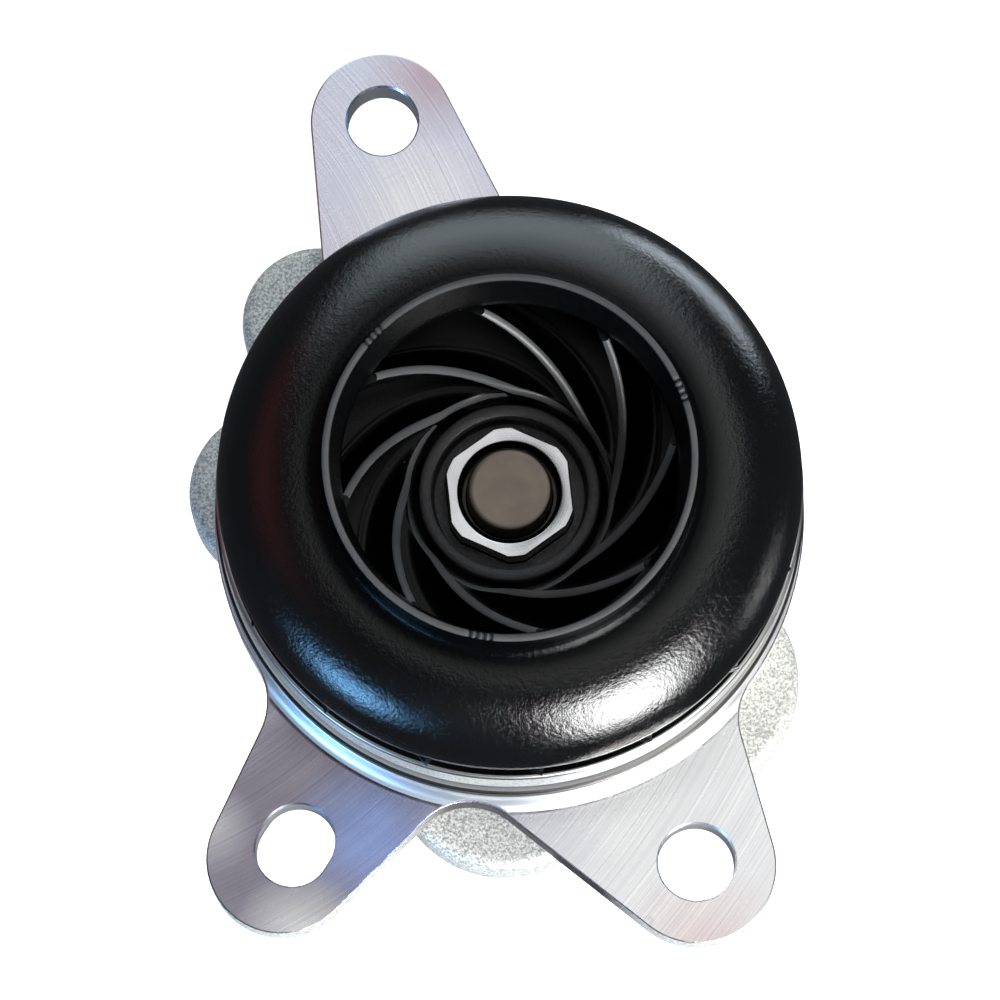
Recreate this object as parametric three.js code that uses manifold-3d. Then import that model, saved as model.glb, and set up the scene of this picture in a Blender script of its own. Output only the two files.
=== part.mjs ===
// Engine coolant pump with a closed impeller, standing on its drive hub.
// Millimetres. +Z runs up the shaft from the pulley side to the impeller, and the origin is the
// middle of the shaft's drive end, in the plane of the hub face that the pulley bolts to.
import * as THREE from 'three';
import { mergeVertices } from 'three/addons/utils/BufferGeometryUtils.js';
import Module from 'manifold-3d';

const wasm = await Module();
wasm.setup();

// ---- Driving dimensions ----------------------------------------------------------------------

const GAP = 0.3; // clearance kept between pieces that touch
const RUNNING_GAP = 0.15; // clearance of bores and pressed fits, on the radius
const BIG_RING_STEPS = 40; // facets round the impeller and the pilot
const SMALL_RING_STEPS = 24; // facets round the shaft, bearing and seal pieces
const ARC_STEP = Math.PI / 12; // angle between the points of an outline's arcs

// Mounting plate of the housing.
const EAR_FACE_Z = 68;
const EAR_THICKNESS = 6;
const EAR_BACK_Z = EAR_FACE_Z - EAR_THICKNESS;
const WAIST_RADIUS = 43;
// Each ear: centre and radius of its rounded end, outward directions of its two straight edges
// (degrees; "right" is the clockwise edge seen from the impeller side), root fillets and bolt hole.
// holeSlot is how much longer than wide the hole is, along the line to the shaft.
const EARS = [
  {
    end: [-18.8, 58.9], endRadius: 10.6, rightNormal: 26.7, leftNormal: 185.2,
    rightFillet: 8, leftFillet: 8, hole: [-18.7, 59.0], holeRadius: 5.2, holeSlot: 0,
  },
  {
    end: [-32.5, -50.4], endRadius: 10.9, rightNormal: 155.0, leftNormal: 315.5,
    rightFillet: 10, leftFillet: 8.4, hole: [-30.6, -48.5], holeRadius: 5.3, holeSlot: 1.4,
  },
  {
    end: [26.8, -51.3], endRadius: 11.4, rightNormal: 231.6, leftNormal: 375.5,
    rightFillet: 8.4, leftFillet: 9, hole: [26.7, -50.9], holeRadius: 5.5, holeSlot: 0,
  },
];

// Pilot that centres the housing in the engine, and its seal ring.
const PILOT_RADIUS = 42.2;
const PILOT_TOP_Z = 75;
const PILOT_FOOT_RADIUS = 44.4;
const GROOVE_FLOOR_RADIUS = 40.3;
const GROOVE_LOW_Z = 71;
const GROOVE_HIGH_Z = 73.6;
const SEAL_RING_WIRE = 1.15;
const SEAL_RING_SIDES = 6;
const PILOT_FILLET = 2; // radius and height of the curved foot of the pilot
const PLATE_SINK = 2; // depth to which joined pieces of the casting run into each other

// Rear of the casting: lobed flange, cone and bearing barrel.
const FLANGE_BACK_Z = 52;
const FLANGE_RADIUS = 41.5;
const LOBES = [
  { at: [-0.6, -35.0], radius: 16.7 },
  { at: [25.4, -23.6], radius: 16.8 },
  { at: [-34.2, 4.4], radius: 12.8 },
  { at: [-28.0, 30.0], radius: 11.5 },
];
const BARREL_RADIUS = 20.5;
const BARREL_END_Z = 18.5;
const CONE_FOOT_Z = 40;
const CONE_HEAD_RADIUS = 28.5;
const RIB_COUNT = 6;
const RIB_THICKNESS = 4;
const RIB_FOOT_Z = 24.5;
const RIB_RISE = 1.5; // height of a rib over the barrel at its foot
const RIB_CURVE = [25.5, 46]; // radius and z that a rib's free edge bends towards
const WEEP_Z = 50.4;
const WEEP_RADIUS = 1.9;

// Bores of the housing, from the drive side to the impeller side.
const BEARING_BORE = 15.1;
const BEARING_STOP_Z = 48.2;
const WEEP_CHAMBER_RADIUS = 13;
const SEAL_BORE = 15.3;
const SEAL_BORE_LOW_Z = 52.5;
const SEAL_SEAT_Z = 61;
const SEAL_WELL_RADIUS = 18.8;
const CHAMBER_FLOOR_Z = 72;
const CHAMBER_RADIUS = 38.5;

// Shaft and bearing.
const SHAFT_TOP_Z = 84;
const SHAFT_NOSE_RADIUS = 6.1;
const SHAFT_RADIUS = 8;
const SHAFT_STEP_Z = 52;
const BALL_RADIUS = 3;
const BALL_CIRCLE = 10.1;
const BALL_COUNT = 8;
const BALL_ROWS = { rear: 25.5, front: 41 };
const RACE_GAP = 0.25; // between a ball and the bottom of its race
const RACE_HALF_WIDTH = 2.65;
const CAGE_INNER = 9.1;
const CAGE_OUTER = 11.3;
const CAGE_BACK = 4.2; // from the ball centres to the closed side of a cage
const CAGE_LIP = 1.2; // from the ball centres to the open side
const POCKET_RADIUS = BALL_RADIUS + 0.4;
const POCKET_SIDES = 10;
const BEARING_LOW_Z = 19;
const BEARING_HIGH_Z = 48;
const BEARING_OUTER = 14.9;
const BEARING_INNER = 12.1;
const END_SEAL_THICKNESS = 1.3;
const END_SEAL_INSET = 0.4;

// Rubber ring that throws water off the shaft, under the weep hole.
const SLINGER_LOW_Z = 48.9;
const SLINGER_HIGH_Z = 51.2;
const SLINGER_FOOT_RADIUS = 9.6;
const SLINGER_LIP_RADIUS = 12.2;
const SLINGER_LIP_THICKNESS = 0.8;

// Mechanical seal: a sprung carbon ring on the housing runs against a ceramic ring on the shaft.
const CASE_LOW_Z = 52.8;
const CASE_WALL = 0.9;
const CASE_EYE_RADIUS = 8.5;
const CASE_OUTER_RADIUS = 15.1;
const CASE_FLANGE_RADIUS = 18.2;
const BELLOWS_INNER = 8.6;
const BELLOWS_OUTER = 10.6;
const BELLOWS_WAIST = 9.4;
const BELLOWS_FOLDS = [57.6, 61.4];
const SPRING_RADIUS = 12.6;
const SPRING_WIRE = 0.7;
const SPRING_TURNS = 3.5;
const SLIDER_LOW_Z = 63.6;
const SLIDER_BASE = 2.3; // thickness of the wide part that the spring pushes on
const SLIDER_INNER = 7.6;
const SLIDER_OUTER = 13.6;
const SEAL_FACE_Z = 69.2;
const SEAL_FACE_INNER = 8.2;
const SEAL_FACE_OUTER = 10.8;
const MATING_INNER = 7.1;
const MATING_OUTER = 12.1;
const MATING_THICKNESS = 3.4;
const CUP_INNER = 6.9;
const CUP_OUTER = 13.2;

// Impeller.
const IMPELLER_RADIUS = 41;
const DISC_RADIUS = 41.6;
const DISC_RIM_Z = 85;
const DISC_RIM_LOW_Z = 78;
const HUB_BACK_Z = 74;
const HUB_BACK_RADIUS = 16;
const DISC_RIM_WALL = 2.2;
const BOSS_RADIUS = 12.9;
const BOSS_TOP_Z = 82;
const BOSS_RECESS_RADIUS = 11.1;
const BOSS_RECESS_Z = 78.4;
const EDGE_BREAK = 0.3; // width of the small bevels on moulded edges
const DISC_ROOT_RADIUS = 13.4;
const DISC_ROOT_Z = 80.6;
const SHROUD_LIP_Z = 91.5;
const OUTLET_TOP_Z = 89.5;
const EYE_TOP_Z = 106;
const EYE_OUTER_RADIUS = 25.85;
const EYE_COLLAR_Z = 101;
const EYE_THROAT_RADIUS = 23.4;
const EYE_THROAT_Z = 98.4;
const SHROUD_UNDER_START = 24.6;
const SHROUD_UNDER_Z = 97;
// Radius and z of the dome's control points, from beside the collar to above the outlets.
const DOME_CURVE = [[28.2, 100.1], [33.5, 100.1], [39.2, 96.9]];

// Vanes: angles in degrees, growing anticlockwise seen from the impeller side.
const VANE_COUNT = 8;
const VANE_START_ANGLE = 91;
const VANE_TIP_SWEEP = 141; // from a vane's hub end to its rim end
const VANE_EDGE_SWEEP = 98; // from the hub end to the shroud end of the inlet edge
const VANE_HUB_RADIUS = 14.3;
const VANE_SHROUD_RADIUS = 22.9;
const VANE_TIP_RADIUS = 40.3;
const VANE_THICKNESS = 1.4;
const VANE_ROOT_SINK = 1;
const VANE_ROOF_GAP = 0.45;
const SPLITTER_START_RADIUS = 29.5;

// Hexagonal insert.
const HEX_ACROSS_FLATS = 17.6;
const HEX_CORNER_RADIUS = 9.5;
const HEX_TURN = 6; // degrees from +Y to the nearest corner
const HEX_LOW_Z = 74.3;
const HEX_HIGH_Z = 82.3;
const HEX_COUNTERBORE_RADIUS = 6.75;
const HEX_COUNTERBORE_DEPTH = 3;
const HEX_MOUTH_RADIUS = 7.5;

// Drive hub.
const HUB_FLANGE_RADIUS = 31;
const HUB_FLANGE_THICKNESS = 5;
const HUB_BOSS_RADIUS = 14.5;
const HUB_BOSS_TOP_Z = 17;
const HUB_HOLE_CIRCLE = 23;
const HUB_HOLE_RADIUS = 3.4;
const HUB_HOLE_COUNT = 4;
const HUB_FILLET = 1.5;
const HUB_BREAK = 0.7;

// ---- Geometry helpers ------------------------------------------------------------------------

const radians = (degrees) => THREE.MathUtils.degToRad(degrees);
const mix = (a, b, share) => a + (b - a) * share;

// Merges shared corners, drops triangles without area and turns the faces outward.
function closed(geometry) {
  const bare = geometry.clone();
  bare.deleteAttribute('normal');
  bare.deleteAttribute('uv');
  const merged = mergeVertices(bare, 1e-4);
  const positions = merged.attributes.position;
  const triangles = [];
  let volume = 0;
  const [a, b, c] = [new THREE.Vector3(), new THREE.Vector3(), new THREE.Vector3()];
  for (let i = 0; i < merged.index.count; i += 3) {
    const corners = [0, 1, 2].map((k) => merged.index.getX(i + k));
    if (new Set(corners).size < 3) continue;
    triangles.push(corners);
    a.fromBufferAttribute(positions, corners[0]);
    b.fromBufferAttribute(positions, corners[1]);
    c.fromBufferAttribute(positions, corners[2]);
    volume += a.dot(b.cross(c));
  }
  if (volume < 0) triangles.forEach((corners) => corners.reverse());
  merged.setIndex(triangles.flat());
  return merged;
}

// A three.js geometry as a manifold solid, ready to join or cut.
function solid(geometry) {
  const shape = closed(geometry);
  const vertProperties = new Float32Array(shape.attributes.position.array);
  const triVerts = new Uint32Array(shape.index.array);
  return new wasm.Manifold(new wasm.Mesh({ numProp: 3, vertProperties, triVerts }));
}

// A manifold solid back as a three.js geometry.
function geometryOf(manifold) {
  const mesh = manifold.getMesh();
  const geometry = new THREE.BufferGeometry();
  geometry.setAttribute('position', new THREE.BufferAttribute(mesh.vertProperties, 3));
  geometry.setIndex(new THREE.BufferAttribute(mesh.triVerts, 1));
  return geometry;
}

// Solid of revolution about Z. The profile is a list of [radius, z] that starts and ends on the
// axis, or a ring's section, which this closes.
function revolve(profile, steps) {
  const onAxis = profile[0][0] === 0;
  const loop = onAxis ? profile : [...profile, profile[0]];
  const points = loop.map(([radius, z]) => new THREE.Vector2(radius, z));
  return closed(new THREE.LatheGeometry(points, steps).rotateX(Math.PI / 2));
}

const disc = (radius, low, high, steps) =>
  revolve([[0, low], [radius, low], [radius, high], [0, high]], steps);

const ring = (inner, outer, low, high, steps) =>
  revolve([[inner, low], [outer, low], [outer, high], [inner, high]], steps);

// A flat outline raised from z = low to z = high.
function raise(shape, low, high) {
  const options = { depth: high - low, bevelEnabled: false };
  return closed(new THREE.ExtrudeGeometry(shape, options).translate(0, 0, low));
}

// A closed grid solid: front and back are equal grids of points, [row][column].
function plateBetween(front, back) {
  const rows = front.length;
  const columns = front[0].length;
  const positions = [...front.flat(), ...back.flat()].flatMap((point) => point.toArray());
  const index = [];
  const at = (side, row, column) => side * rows * columns + row * columns + column;
  const quad = (p, q, r, s) => index.push(p, q, r, p, r, s);
  for (let i = 0; i < rows - 1; i += 1) {
    for (let j = 0; j < columns - 1; j += 1) {
      quad(at(0, i, j), at(0, i, j + 1), at(0, i + 1, j + 1), at(0, i + 1, j));
      quad(at(1, i, j), at(1, i + 1, j), at(1, i + 1, j + 1), at(1, i, j + 1));
    }
  }
  for (let j = 0; j < columns - 1; j += 1) {
    quad(at(0, 0, j), at(1, 0, j), at(1, 0, j + 1), at(0, 0, j + 1));
    quad(at(0, rows - 1, j), at(0, rows - 1, j + 1), at(1, rows - 1, j + 1), at(1, rows - 1, j));
  }
  for (let i = 0; i < rows - 1; i += 1) {
    quad(at(0, i, 0), at(0, i + 1, 0), at(1, i + 1, 0), at(1, i, 0));
    quad(at(0, i, columns - 1), at(1, i, columns - 1), at(1, i + 1, columns - 1), at(0, i + 1, columns - 1));
  }
  const geometry = new THREE.BufferGeometry();
  geometry.setAttribute('position', new THREE.Float32BufferAttribute(positions, 3));
  geometry.setIndex(index);
  return closed(geometry);
}

// ---- Materials -------------------------------------------------------------------------------

const metal = (color, roughness) => new THREE.MeshStandardMaterial({ color, roughness, metalness: 1 });
const dull = (color, roughness) => new THREE.MeshStandardMaterial({ color, roughness, metalness: 0 });

// ---- Housing ---------------------------------------------------------------------------------

// Fillet between an ear's straight edge and the waist circle. side is +1 for the clockwise edge.
function rootFillet(ear, normalDegrees, radius, side) {
  const normal = new THREE.Vector2(1, 0).rotateAround(new THREE.Vector2(), radians(normalDegrees));
  const along = new THREE.Vector2(-normal.y, normal.x);
  const reach = ear.endRadius + radius + new THREE.Vector2(...ear.end).dot(normal);
  const rise = Math.sqrt((WAIST_RADIUS + radius) ** 2 - reach ** 2);
  const centre = normal.clone().multiplyScalar(reach).addScaledVector(along, side * rise);
  return { centre, radius, waistAngle: centre.angle(), edgeAngle: radians(normalDegrees) };
}

// Points along an arc, evenly spaced, without the last one.
function arc(x, y, radius, start, end) {
  const count = Math.max(1, Math.round(Math.abs(end - start) / ARC_STEP));
  return Array.from({ length: count }, (_, i) => {
    const angle = mix(start, end, i / count);
    return new THREE.Vector2(x + radius * Math.cos(angle), y + radius * Math.sin(angle));
  });
}

// The same direction as angle, at most one turn after start.
const after = (angle, start) => start + THREE.MathUtils.euclideanModulo(angle - start, 2 * Math.PI);

// Outline of the mounting plate: the waist circle and three ears, joined by root fillets.
function plateOutline() {
  const corners = EARS.map((ear) => ({
    ear,
    right: rootFillet(ear, ear.rightNormal, ear.rightFillet, 1),
    left: rootFillet(ear, ear.leftNormal, ear.leftFillet, -1),
  }));
  const points = corners.flatMap(({ ear, right, left }, i) => {
    const next = corners[(i + 1) % corners.length];
    const [endX, endY] = ear.end;
    const half = Math.PI;
    return [
      ...arc(right.centre.x, right.centre.y, right.radius,
        after(right.waistAngle + half, right.edgeAngle + half), right.edgeAngle + half),
      new THREE.Vector2(right.centre.x, right.centre.y)
        .sub(new THREE.Vector2(right.radius, 0).rotateAround(new THREE.Vector2(), right.edgeAngle)),
      ...arc(endX, endY, ear.endRadius, right.edgeAngle, after(left.edgeAngle, right.edgeAngle)),
      new THREE.Vector2(endX, endY)
        .add(new THREE.Vector2(ear.endRadius, 0).rotateAround(new THREE.Vector2(), left.edgeAngle)),
      ...arc(left.centre.x, left.centre.y, left.radius,
        after(left.edgeAngle + half, left.waistAngle + half), left.waistAngle + half),
      ...arc(0, 0, WAIST_RADIUS, left.waistAngle, after(next.right.waistAngle, left.waistAngle)),
    ];
  });
  return new THREE.Shape(points);
}

// Bolt hole: round, or a short slot along the line to the shaft.
function boltHole(ear) {
  const [x, y] = ear.hole;
  const across = Math.atan2(-y, -x) - Math.PI / 2;
  const half = ear.holeSlot / 2;
  const dx = -half * Math.sin(across);
  const dy = half * Math.cos(across);
  return new THREE.Shape([
    ...arc(x + dx, y + dy, ear.holeRadius, across, across + Math.PI),
    ...arc(x - dx, y - dy, ear.holeRadius, across + Math.PI, across + 2 * Math.PI),
  ]);
}

// One of the webs that brace the bearing barrel against the flange.
function rib(turn) {
  const shape = new THREE.Shape();
  const outer = FLANGE_RADIUS - 1.5 * PLATE_SINK;
  shape.moveTo(BARREL_RADIUS - PLATE_SINK, RIB_FOOT_Z);
  shape.lineTo(BARREL_RADIUS + RIB_RISE, RIB_FOOT_Z);
  shape.quadraticCurveTo(...RIB_CURVE, outer, FLANGE_BACK_Z);
  shape.lineTo(outer, FLANGE_BACK_Z + PLATE_SINK);
  shape.lineTo(BARREL_RADIUS - PLATE_SINK, FLANGE_BACK_Z + PLATE_SINK);
  shape.closePath();
  const options = { depth: RIB_THICKNESS, bevelEnabled: false, curveSegments: 4 };
  const web = new THREE.ExtrudeGeometry(shape, options);
  web.translate(0, 0, -RIB_THICKNESS / 2).rotateX(Math.PI / 2).rotateZ(turn);
  return solid(web);
}

// Pilot with its curved foot, its seal groove and a bevelled lip.
function pilot() {
  const foot = PILOT_FOOT_RADIUS - 0.8 * PILOT_FILLET;
  const lip = 0.25 * PILOT_FILLET;
  return solid(revolve([
    [0, EAR_FACE_Z - PLATE_SINK],
    [foot, EAR_FACE_Z - PLATE_SINK],
    [foot, EAR_FACE_Z],
    [PILOT_RADIUS + 0.25 * PILOT_FILLET, EAR_FACE_Z + 0.4 * PILOT_FILLET],
    [PILOT_RADIUS, EAR_FACE_Z + PILOT_FILLET],
    [PILOT_RADIUS, GROOVE_LOW_Z],
    [GROOVE_FLOOR_RADIUS, GROOVE_LOW_Z],
    [GROOVE_FLOOR_RADIUS, GROOVE_HIGH_Z],
    [PILOT_RADIUS, GROOVE_HIGH_Z],
    [PILOT_RADIUS, PILOT_TOP_Z - lip],
    [PILOT_RADIUS - lip, PILOT_TOP_Z],
    [0, PILOT_TOP_Z],
  ], BIG_RING_STEPS));
}

// Barrel, cone and flange behind the plate, with the cast lobes and the ribs.
function castRear() {
  const top = EAR_BACK_Z + 1;
  let rear = solid(revolve([
    [0, BARREL_END_Z],
    [BARREL_RADIUS, BARREL_END_Z],
    [BARREL_RADIUS + 1, CONE_FOOT_Z],
    [CONE_HEAD_RADIUS, FLANGE_BACK_Z - 2],
    [FLANGE_RADIUS - 2, FLANGE_BACK_Z],
    [FLANGE_RADIUS, FLANGE_BACK_Z + 2],
    [FLANGE_RADIUS, top],
    [0, top],
  ], SMALL_RING_STEPS));
  for (const { at: [x, y], radius } of LOBES) {
    rear = rear.add(solid(disc(radius, FLANGE_BACK_Z + 1, top, SMALL_RING_STEPS).translate(x, y, 0)));
  }
  for (let i = 0; i < RIB_COUNT; i += 1) {
    rear = rear.add(rib(i * 2 * Math.PI / RIB_COUNT));
  }
  return rear;
}

// Everything bored along the shaft: bearing bore, weep chamber, seal bore, well and chamber.
function bores() {
  return solid(revolve([
    [0, BARREL_END_Z - 1],
    [BEARING_BORE, BARREL_END_Z - 1],
    [BEARING_BORE, BEARING_STOP_Z],
    [WEEP_CHAMBER_RADIUS, BEARING_STOP_Z],
    [WEEP_CHAMBER_RADIUS, SEAL_BORE_LOW_Z],
    [SEAL_BORE, SEAL_BORE_LOW_Z],
    [SEAL_BORE, SEAL_SEAT_Z],
    [SEAL_WELL_RADIUS, SEAL_SEAT_Z],
    [SEAL_WELL_RADIUS, CHAMBER_FLOOR_Z],
    [CHAMBER_RADIUS - 1, CHAMBER_FLOOR_Z],
    [CHAMBER_RADIUS, CHAMBER_FLOOR_Z + 1],
    [CHAMBER_RADIUS, PILOT_TOP_Z + 1],
    [0, PILOT_TOP_Z + 1],
  ], SMALL_RING_STEPS));
}

function pumpBody() {
  const plate = solid(raise(plateOutline(), EAR_BACK_Z, EAR_FACE_Z));
  let body = plate.add(pilot()).add(castRear()).subtract(bores());
  for (const ear of EARS) {
    body = body.subtract(solid(raise(boltHole(ear), EAR_BACK_Z - 1, EAR_FACE_Z + 1)));
  }
  // The weep hole leads down out of the chamber between seal and bearing, its vent leads up.
  const weep = new THREE.CylinderGeometry(WEEP_RADIUS, WEEP_RADIUS, 4 * FLANGE_RADIUS, 12);
  return geometryOf(body.subtract(solid(weep.translate(0, 0, WEEP_Z))));
}

function bodySealRing() {
  const centreRadius = GROOVE_FLOOR_RADIUS + 0.1 + SEAL_RING_WIRE;
  const centreZ = (GROOVE_LOW_Z + GROOVE_HIGH_Z) / 2;
  const section = Array.from({ length: SEAL_RING_SIDES }, (_, i) => {
    const angle = (i / SEAL_RING_SIDES) * 2 * Math.PI;
    return [centreRadius + SEAL_RING_WIRE * Math.cos(angle), centreZ + SEAL_RING_WIRE * Math.sin(angle)];
  });
  return revolve(section, BIG_RING_STEPS);
}

// ---- Bearing ---------------------------------------------------------------------------------

// Section of a ball race: edge is the radius of the shoulders, side is +1 for a race that opens
// outward (on the shaft) and -1 for one that opens inward. Upward says which way it is listed.
function race(z, edge, side, upward) {
  const floor = BALL_CIRCLE - side * (BALL_RADIUS + RACE_GAP);
  const half = RACE_HALF_WIDTH;
  const rows = [
    [edge, z - half],
    [floor + side * RACE_GAP, z - 0.57 * half],
    [floor, z],
    [floor + side * RACE_GAP, z + 0.57 * half],
    [edge, z + half],
  ];
  return upward ? rows : rows.reverse();
}

function bearingOuterRing() {
  const bevel = 0.5;
  return revolve([
    [BEARING_INNER, BEARING_LOW_Z],
    [BEARING_OUTER - bevel, BEARING_LOW_Z],
    [BEARING_OUTER, BEARING_LOW_Z + bevel],
    [BEARING_OUTER, BEARING_HIGH_Z - bevel],
    [BEARING_OUTER - bevel, BEARING_HIGH_Z],
    [BEARING_INNER, BEARING_HIGH_Z],
    ...race(BALL_ROWS.front, BEARING_INNER, -1, false),
    ...race(BALL_ROWS.rear, BEARING_INNER, -1, false),
  ], SMALL_RING_STEPS);
}

// Places of a row's balls, on the ball circle.
function ballPlaces(z) {
  return Array.from({ length: BALL_COUNT }, (_, i) => {
    const angle = (i / BALL_COUNT) * 2 * Math.PI;
    return new THREE.Vector3(BALL_CIRCLE * Math.cos(angle), BALL_CIRCLE * Math.sin(angle), z);
  });
}

// Snap cage: a ring whose ball pockets open on one side.
function bearingCage(z, facing) {
  const ends = [z - facing * CAGE_BACK, z + facing * CAGE_LIP];
  let cage = solid(ring(CAGE_INNER, CAGE_OUTER, Math.min(...ends), Math.max(...ends), SMALL_RING_STEPS));
  for (const place of ballPlaces(z)) {
    const pocket = new THREE.CylinderGeometry(POCKET_RADIUS, POCKET_RADIUS, 2 * BALL_RADIUS, POCKET_SIDES);
    pocket.rotateZ(Math.PI / 2).rotateZ(Math.atan2(place.y, place.x));
    cage = cage.subtract(solid(pocket.translate(place.x, place.y, place.z)));
  }
  return geometryOf(cage);
}

const bearingEndSeal = (low) => ring(
  SHAFT_RADIUS + RUNNING_GAP, BEARING_INNER - RUNNING_GAP, low, low + END_SEAL_THICKNESS, SMALL_RING_STEPS);

// ---- Shaft and drive hub ---------------------------------------------------------------------

function shaft() {
  const bevel = 0.5;
  return revolve([
    [0, 0],
    [SHAFT_RADIUS - bevel, 0],
    [SHAFT_RADIUS, bevel],
    ...race(BALL_ROWS.rear, SHAFT_RADIUS, 1, true),
    ...race(BALL_ROWS.front, SHAFT_RADIUS, 1, true),
    [SHAFT_RADIUS, SHAFT_STEP_Z],
    [SHAFT_NOSE_RADIUS, SHAFT_STEP_Z + 1],
    [SHAFT_NOSE_RADIUS, SHAFT_TOP_Z - bevel],
    [SHAFT_NOSE_RADIUS - bevel, SHAFT_TOP_Z],
    [0, SHAFT_TOP_Z],
  ], SMALL_RING_STEPS);
}

function driveHub() {
  let hub = solid(revolve([
    [SHAFT_RADIUS + RUNNING_GAP, 0],
    [HUB_FLANGE_RADIUS - HUB_BREAK, 0],
    [HUB_FLANGE_RADIUS, HUB_BREAK],
    [HUB_FLANGE_RADIUS, HUB_FLANGE_THICKNESS],
    [HUB_BOSS_RADIUS + HUB_FILLET, HUB_FLANGE_THICKNESS],
    [HUB_BOSS_RADIUS, HUB_FLANGE_THICKNESS + HUB_FILLET],
    [HUB_BOSS_RADIUS, HUB_BOSS_TOP_Z - HUB_BREAK],
    [HUB_BOSS_RADIUS - HUB_BREAK, HUB_BOSS_TOP_Z],
    [SHAFT_RADIUS + RUNNING_GAP, HUB_BOSS_TOP_Z],
  ], SMALL_RING_STEPS));
  for (let i = 0; i < HUB_HOLE_COUNT; i += 1) {
    const angle = (i + 0.5) * 2 * Math.PI / HUB_HOLE_COUNT;
    const drill = disc(HUB_HOLE_RADIUS, -1, HUB_FLANGE_THICKNESS + 1, 12);
    drill.translate(HUB_HOLE_CIRCLE * Math.cos(angle), HUB_HOLE_CIRCLE * Math.sin(angle), 0);
    hub = hub.subtract(solid(drill));
  }
  return geometryOf(hub);
}

const slingerRing = () => revolve([
  [SHAFT_RADIUS + RUNNING_GAP, SLINGER_LOW_Z],
  [SLINGER_FOOT_RADIUS, SLINGER_LOW_Z],
  [SLINGER_LIP_RADIUS, SLINGER_HIGH_Z - SLINGER_LIP_THICKNESS],
  [SLINGER_LIP_RADIUS, SLINGER_HIGH_Z],
  [SHAFT_RADIUS + RUNNING_GAP, SLINGER_HIGH_Z],
], SMALL_RING_STEPS);

// ---- Mechanical seal -------------------------------------------------------------------------

const sealCase = () => revolve([
  [CASE_EYE_RADIUS, CASE_LOW_Z],
  [CASE_OUTER_RADIUS, CASE_LOW_Z],
  [CASE_OUTER_RADIUS, SEAL_SEAT_Z + GAP],
  [CASE_FLANGE_RADIUS, SEAL_SEAT_Z + GAP],
  [CASE_FLANGE_RADIUS, SEAL_SEAT_Z + GAP + CASE_WALL],
  [CASE_OUTER_RADIUS - CASE_WALL, SEAL_SEAT_Z + GAP + CASE_WALL],
  [CASE_OUTER_RADIUS - CASE_WALL, CASE_LOW_Z + CASE_WALL],
  [CASE_EYE_RADIUS, CASE_LOW_Z + CASE_WALL],
], SMALL_RING_STEPS);

// Rubber bellows between the case's inner lip and the sliding ring, waisted at its folds.
function sealBellows() {
  const low = CASE_LOW_Z + CASE_WALL + 0.2;
  const high = SLIDER_LOW_Z - 0.1;
  const folds = BELLOWS_FOLDS.flatMap((z) => [
    [BELLOWS_OUTER, z - 1],
    [BELLOWS_WAIST, z],
    [BELLOWS_OUTER, z + 1],
  ]);
  return revolve([
    [BELLOWS_INNER, low],
    [BELLOWS_OUTER, low],
    ...folds,
    [BELLOWS_OUTER, high],
    [BELLOWS_INNER, high],
  ], SMALL_RING_STEPS);
}

function sealSpring() {
  const low = CASE_LOW_Z + CASE_WALL + SPRING_WIRE + 0.1;
  const high = SLIDER_LOW_Z - SPRING_WIRE - 0.1;
  const steps = 36;
  const points = Array.from({ length: steps + 1 }, (_, i) => {
    const angle = (i / steps) * SPRING_TURNS * 2 * Math.PI;
    return new THREE.Vector3(
      SPRING_RADIUS * Math.cos(angle), SPRING_RADIUS * Math.sin(angle), mix(low, high, i / steps));
  });
  const section = new THREE.Shape();
  section.absarc(0, 0, SPRING_WIRE, 0, 2 * Math.PI, false);
  const path = new THREE.CatmullRomCurve3(points);
  return closed(new THREE.ExtrudeGeometry(section, { steps, extrudePath: path, curveSegments: 3 }));
}

const sealCarbonRing = () => revolve([
  [SLIDER_INNER, SLIDER_LOW_Z],
  [SLIDER_OUTER, SLIDER_LOW_Z],
  [SLIDER_OUTER, SLIDER_LOW_Z + SLIDER_BASE],
  [SEAL_FACE_OUTER, SLIDER_LOW_Z + SLIDER_BASE],
  [SEAL_FACE_OUTER, SEAL_FACE_Z],
  [SEAL_FACE_INNER, SEAL_FACE_Z],
  [SLIDER_INNER, SLIDER_LOW_Z + 1.3 * SLIDER_BASE],
], SMALL_RING_STEPS);

const sealMatingRing = () => ring(
  MATING_INNER, MATING_OUTER, SEAL_FACE_Z + 0.1, SEAL_FACE_Z + 0.1 + MATING_THICKNESS, SMALL_RING_STEPS);

// Rubber cup on the shaft that holds the ceramic ring in its open side.
function sealSeatCup() {
  const inner = SHAFT_NOSE_RADIUS + RUNNING_GAP;
  const ringTop = SEAL_FACE_Z + 0.2 + MATING_THICKNESS;
  return revolve([
    [inner, SEAL_FACE_Z + 0.5],
    [CUP_INNER, SEAL_FACE_Z + 0.5],
    [CUP_INNER, ringTop],
    [MATING_OUTER + 0.2, ringTop],
    [MATING_OUTER + 0.2, SEAL_FACE_Z + 1],
    [CUP_OUTER, SEAL_FACE_Z + 1],
    [CUP_OUTER, HUB_BACK_Z - GAP],
    [inner, HUB_BACK_Z - GAP],
  ], SMALL_RING_STEPS);
}

// ---- Impeller --------------------------------------------------------------------------------

// Height of the hub disc's flow face, which rises from the boss to the rim.
function discTop(radius) {
  const share = THREE.MathUtils.clamp((radius - DISC_ROOT_RADIUS) / (DISC_RADIUS - DISC_ROOT_RADIUS), 0, 1);
  return mix(DISC_ROOT_Z, DISC_RIM_Z, share ** 1.3);
}

// Height of the shroud's flow face, which falls from the throat to the outlets.
function shroudUnder(radius) {
  const share = THREE.MathUtils.clamp(
    (radius - SHROUD_UNDER_START) / (IMPELLER_RADIUS - SHROUD_UNDER_START), 0, 1);
  return mix(SHROUD_UNDER_Z, OUTLET_TOP_Z, share ** 2.2);
}

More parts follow.
